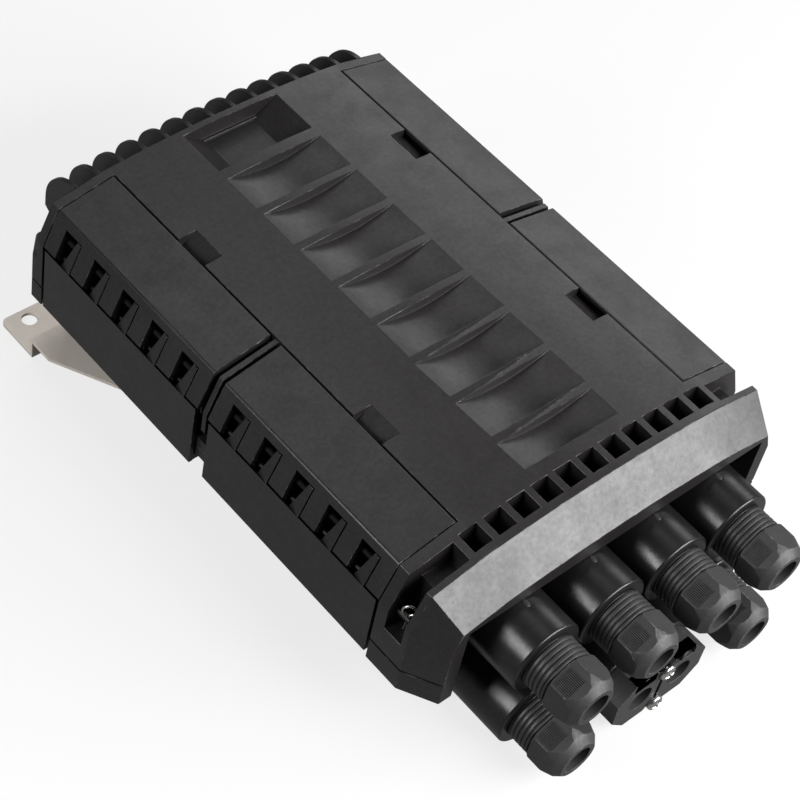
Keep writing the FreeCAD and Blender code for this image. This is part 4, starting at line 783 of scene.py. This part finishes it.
class MakeNuts(bpy.types.Operator):
    """Gland nuts with rounded edges and fine grip ribs on every second flat"""
    bl_idname = "closure.make_nuts"
    bl_label = "Gland nuts"

    flat = 14.0 * MM
    flat_turn = math.radians(-17)
    rib_length = 9.4 * MM
    rib_aside = 1.4 * MM
    back_gap = 1.6 * MM
    # how far each nut was left turned when it was tightened, in degrees
    tightened = {1: 11, 2: 13, 3: 14, 4: 21, 5: 12, 6: 8}

    def execute(self, context):
        sizes = context.scene.closure_sizes
        tree = grip_tree()
        for n in GLANDS:
            node = "gland_nut_%d" % n
            nut = rounded_copy(node, sizes.small_edge)
            middle = centre_of(node)
            middle.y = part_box(node)[1].y - self.back_gap - self.rib_length / 2
            apply_tree(nut, tree, {
                "Count": sizes.rib_count, "Pitch": sizes.rib_pitch, "Height": sizes.rib_height,
                "Length": self.rib_length, "Flat": self.flat, "Aside": self.rib_aside, "Turn": self.flat_turn,
                "Centre": middle, "Material": finish("dark_nut")})
            turn = Matrix.Rotation(math.radians(-self.tightened[n]), 4, "Y")
            nut.data.transform(Matrix.Translation(middle) @ turn @ Matrix.Translation(-middle))
            dress(nut, body_of(node), "dark_nut", node)
        return {"FINISHED"}


class MakeClamp(bpy.types.Operator):
    """Split clamp on the oval port with its rubber grommet"""
    bl_idname = "closure.make_clamp"
    bl_label = "Split clamp"

    def execute(self, context):
        sizes = context.scene.closure_sizes
        rounded_nodes(["clamp_half_right", "clamp_half_left", "oval_grommet"], sizes.small_edge)
        return {"FINISHED"}


class MakeScrews(bpy.types.Operator):
    """Pan-head screws with a cross recess, in the clamp and under the bracket"""
    bl_idname = "closure.make_screws"
    bl_label = "Screws"

    rings = 26
    around = 64
    # head radius, head height and shank radius
    clamp_screw = (4.6 * MM, 3.4 * MM, 2.0 * MM)
    bracket_screw = (4.0 * MM, 2.4 * MM, 2.0 * MM)

    def recess(self, x, z, radius):
        """Depth share of the cross recess at a place on the head."""
        arm = radius * 0.58
        width = radius * 0.16
        across = min(max(abs(x) - width, abs(z) - arm), max(abs(z) - width, abs(x) - arm))
        share = -across / (0.12 * radius) + 0.5
        return min(1.0, max(0.0, share))

    def head_screw(self, name, head, thick, shank, length):
        """A screw along Y with its head's flat at zero and its shank towards +Y."""
        bm = bmesh.new()
        shell = []
        for i in range(self.rings + 1):
            r = head * i / self.rings
            drop = 1 - math.sqrt(max(0.0, 1 - (r / head) ** 2.6))
            shell.append((r, -thick * (1 - 0.62 * drop)))
        shell += [(head, -0.1 * thick), (head * 0.97, 0.0), (shank, 0.0), (shank, length * 0.94),
                  (shank * 0.7, length), (0.0, length)]
        loops = []
        for i in range(self.around):
            angle = 2 * math.pi * i / self.around
            loop = []
            for j, (r, y) in enumerate(shell):
                x, z = r * math.cos(angle), r * math.sin(angle)
                deep = 0.55 * thick * self.recess(x, z, head) if j <= self.rings else 0.0
                loop.append(bm.verts.new((x, y + deep, z)))
            loops.append(loop)
        for i in range(self.around):
            here, after = loops[i], loops[(i + 1) % self.around]
            for j in range(len(shell) - 1):
                bm.faces.new((here[j], here[j + 1], after[j + 1], after[j]))
        bmesh.ops.remove_doubles(bm, verts=bm.verts, dist=WELD)
        bmesh.ops.dissolve_degenerate(bm, edges=bm.edges, dist=SLIVER)
        bmesh.ops.recalc_face_normals(bm, faces=bm.faces)
        for face in bm.faces:
            face.smooth = True
        mesh = bpy.data.meshes.new(name)
        bm.to_mesh(mesh)
        bm.free()
        mesh.set_sharp_from_angle(angle=CRISP_BEND)
        return new_object(name, mesh)

    def set_down(self, name, part, spots, tree, node):
        """Copies of a screw at its places, which stand for a CAD node."""
        screws = new_object(name, points_mesh(name, spots))
        apply_tree(screws, tree, {"Part": part, "Material": finish("bright_steel")})
        bpy.data.objects.remove(part)
        dress(screws, "shell", "bright_steel", node)

    def execute(self, context):
        tree = copies_tree()
        head, thick, shank = self.clamp_screw
        low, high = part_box("clamp_screws")
        part = self.head_screw("clamp_screw", head, thick, shank, high.y - low.y - thick)
        spots = [(0.0, low.y + thick, z) for z in (low.z + head, high.z - head)]
        self.set_down("clamp_screw_pair", part, spots, tree, "clamp_screws")
        head, thick, shank = self.bracket_screw
        low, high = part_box("bracket_screws")
        part = self.head_screw("bracket_screw", head, thick, shank, high.z - low.z - thick)
        part.data.transform(Matrix.Rotation(math.radians(90), 4, "X"))
        spots = [(x, y, low.z + thick) for x in (low.x + head, high.x - head)
                 for y in (low.y + head, high.y - head)]
        self.set_down("bracket_screw_set", part, spots, tree, "bracket_screws")
        return {"FINISHED"}


class MakeBracket(bpy.types.Operator):
    """Folded steel wall bracket with its cut edges eased"""
    bl_idname = "closure.make_bracket"
    bl_label = "Wall bracket"

    def execute(self, context):
        rounded_nodes(["wall_bracket"], context.scene.closure_sizes.sheet_edge)
        return {"FINISHED"}


class MakeInside(bpy.types.Operator):
    """Splice trays, their fixings and the cable anchors"""
    bl_idname = "closure.make_inside"
    bl_label = "Trays and anchors"

    def execute(self, context):
        finish_nodes(["tray_base", "splice_tray_1", "splice_tray_2", "splice_tray_3", "tray_lid",
                      "splice_holders", "tray_studs", "tray_nuts", "base_screws", "anchor_bar",
                      "anchor_clamps", "anchor_screws"])
        return {"FINISHED"}


# Stage
class MakeStage(bpy.types.Operator):
    """Pale floor, soft lights and the camera"""
    bl_idname = "closure.make_stage"
    bl_label = "Stage"

    floor_half = 9.0
    floor_drop = 0.3 * MM
    # name, place, what it points at, roll in degrees, width, height, brightness
    lamps = (
        ("front_right", (0.48, -1.135, 0.69), (0.0, -0.315, 0.105), -23.8, 1.35, 0.58, 12.6),
        ("back_right", (1.3, 0.58, 0.96), (0.0, -0.15, 0.11), 0.0, 1.4, 0.66, 2.35),
        ("back_left", (-1.16, 0.03, 0.67), (0.0, -0.3, 0.08), 0.0, 0.4, 0.62, 11.0),
        ("overhead", (0.2, 0.62, 1.6), (0.0, -0.15, 0.11), 0.0, 0.8, 0.8, 1.3),
    )
    # how much of the white shows in what mirrors the floor
    mirrored = 0.2
    # grey of the floor to the eye, and to the light that it throws back on the object
    floor_pale = 0.8
    floor_bounce = 0.07

    def floor_finish(self, share):
        material = bpy.data.materials.new("pale_floor")
        material.use_nodes = True
        tree = material.node_tree
        tree.nodes.clear()
        nodes = Nodes(tree)
        path = nodes.add("ShaderNodeLightPath").outputs
        seen = path["Is Camera Ray"]
        mirror = nodes.math("MAXIMUM", path["Is Glossy Ray"], path["Is Transmission Ray"])
        shown = nodes.math("ADD", nodes.math("MULTIPLY", seen, share),
                           nodes.math("MULTIPLY", mirror, self.mirrored))
        grey = nodes.spread(seen, 0.0, 1.0, self.floor_bounce, self.floor_pale)
        matt = nodes.add("ShaderNodeBsdfDiffuse", {"Color": grey})
        white = nodes.add("ShaderNodeEmission", {"Color": (1.0, 1.0, 1.0, 1.0), "Strength": 1.0})
        mix = nodes.add("ShaderNodeMixShader", {0: shown, 1: matt.outputs[0], 2: white.outputs[0]})
        output = nodes.add("ShaderNodeOutputMaterial")
        tree.links.new(mix.outputs[0], output.inputs["Surface"])
        return material

    def add_floor(self, share):
        half = self.floor_half
        z = -self.floor_drop
        corners = [(-half, -half, z), (half, -half, z), (half, half, z), (-half, half, z)]
        mesh = bpy.data.meshes.new("floor")
        mesh.from_pydata(corners, [], [(0, 1, 2, 3)])
        mesh.materials.append(self.floor_finish(share))
        new_object("floor", mesh)

    def add_lamp(self, name, place, target, roll, width, height, brightness):
        lamp = bpy.data.lights.new(name, "AREA")
        lamp.shape = "RECTANGLE"
        lamp.size = width
        lamp.size_y = height
        lamp.energy = brightness * math.pi * width * height
        obj = bpy.data.objects.new(name, lamp)
        obj.location = place
        aim = (Vector(place) - Vector(target)).to_track_quat("Z", "Y")
        obj.rotation_euler = (aim @ Quaternion((0, 0, 1), math.radians(roll))).to_euler()
        obj.visible_camera = False
        bpy.context.scene.collection.objects.link(obj)

    def add_world(self, stage):
        """Even light all round, which the camera sees as pale as the far floor."""
        world = bpy.data.worlds.new("even_light")
        world.use_nodes = True
        nodes = Nodes(world.node_tree)
        seen = nodes.add("ShaderNodeLightPath").outputs["Is Camera Ray"]
        background = world.node_tree.nodes["Background"]
        background.inputs["Color"].default_value = (1.0, 1.0, 1.0, 1.0)
        world.node_tree.links.new(nodes.spread(seen, 0.0, 1.0, stage.world, stage.floor),
                                  background.inputs["Strength"])
        bpy.context.scene.world = world

    def add_camera(self, stage):
        data = bpy.data.cameras.new("camera")
        data.sensor_width = 36.0
        data.lens = stage.lens
        camera = bpy.data.objects.new("camera", data)
        bpy.context.scene.collection.objects.link(camera)
        place = Vector(stage.camera_place)
        back = (place - Vector(stage.camera_target)).normalized()
        level = (-back).cross(Vector((0, 0, 1))).normalized()
        upright = level.cross(-back)
        cos, sin = math.cos(stage.camera_roll), math.sin(stage.camera_roll)
        right = cos * level + sin * upright
        up = -sin * level + cos * upright
        turn = Matrix((right, up, back)).transposed()
        camera.matrix_world = Matrix.Translation(place) @ turn.to_4x4()
        bpy.context.scene.camera = camera

    def execute(self, context):
        stage = context.scene.closure_stage
        self.add_floor(stage.floor)
        for lamp in self.lamps:
            self.add_lamp(*lamp)
        self.add_world(stage)
        self.add_camera(stage)
        context.scene.view_settings.view_transform = "Standard"
        return {"FINISHED"}


OPERATORS = (MakeShells, MakeLatches, MakeSplitPins, MakePorts, MakeNecks, MakeNuts, MakeClamp, MakeScrews,
             MakeBracket, MakeInside, MakeStage)
GROUPS = (("closure_sizes", ClosureSizes), ("closure_colours", ClosureColours),
          ("closure_stage", ClosureStage))


class ClosurePanel(bpy.types.Panel):
    """Sizes, colours and steps of the closure"""
    bl_idname = "VIEW3D_PT_closure"
    bl_label = "Fibre splice closure"
    bl_space_type = "VIEW_3D"
    bl_region_type = "UI"
    bl_category = "Closure"

    def draw(self, context):
        for name, group in GROUPS:
            box = self.layout.box()
            for prop in group.__annotations__:
                box.prop(getattr(context.scene, name), prop)
        for operator in OPERATORS:
            self.layout.operator(operator.bl_idname)


def register():
    for _, group in GROUPS:
        bpy.utils.register_class(group)
    for name, group in GROUPS:
        setattr(bpy.types.Scene, name, bpy.props.PointerProperty(type=group))
    for operator in OPERATORS:
        bpy.utils.register_class(operator)
    bpy.utils.register_class(ClosurePanel)


def unregister():
    bpy.utils.unregister_class(ClosurePanel)
    for operator in reversed(OPERATORS):
        bpy.utils.unregister_class(operator)
    for name, group in reversed(GROUPS):
        delattr(bpy.types.Scene, name)
        bpy.utils.unregister_class(group)


def main():
    register()
    for operator in OPERATORS:
        group, name = operator.bl_idname.split(".")
        getattr(getattr(bpy.ops, group), name)()


if __name__ == "__main__":
    main()
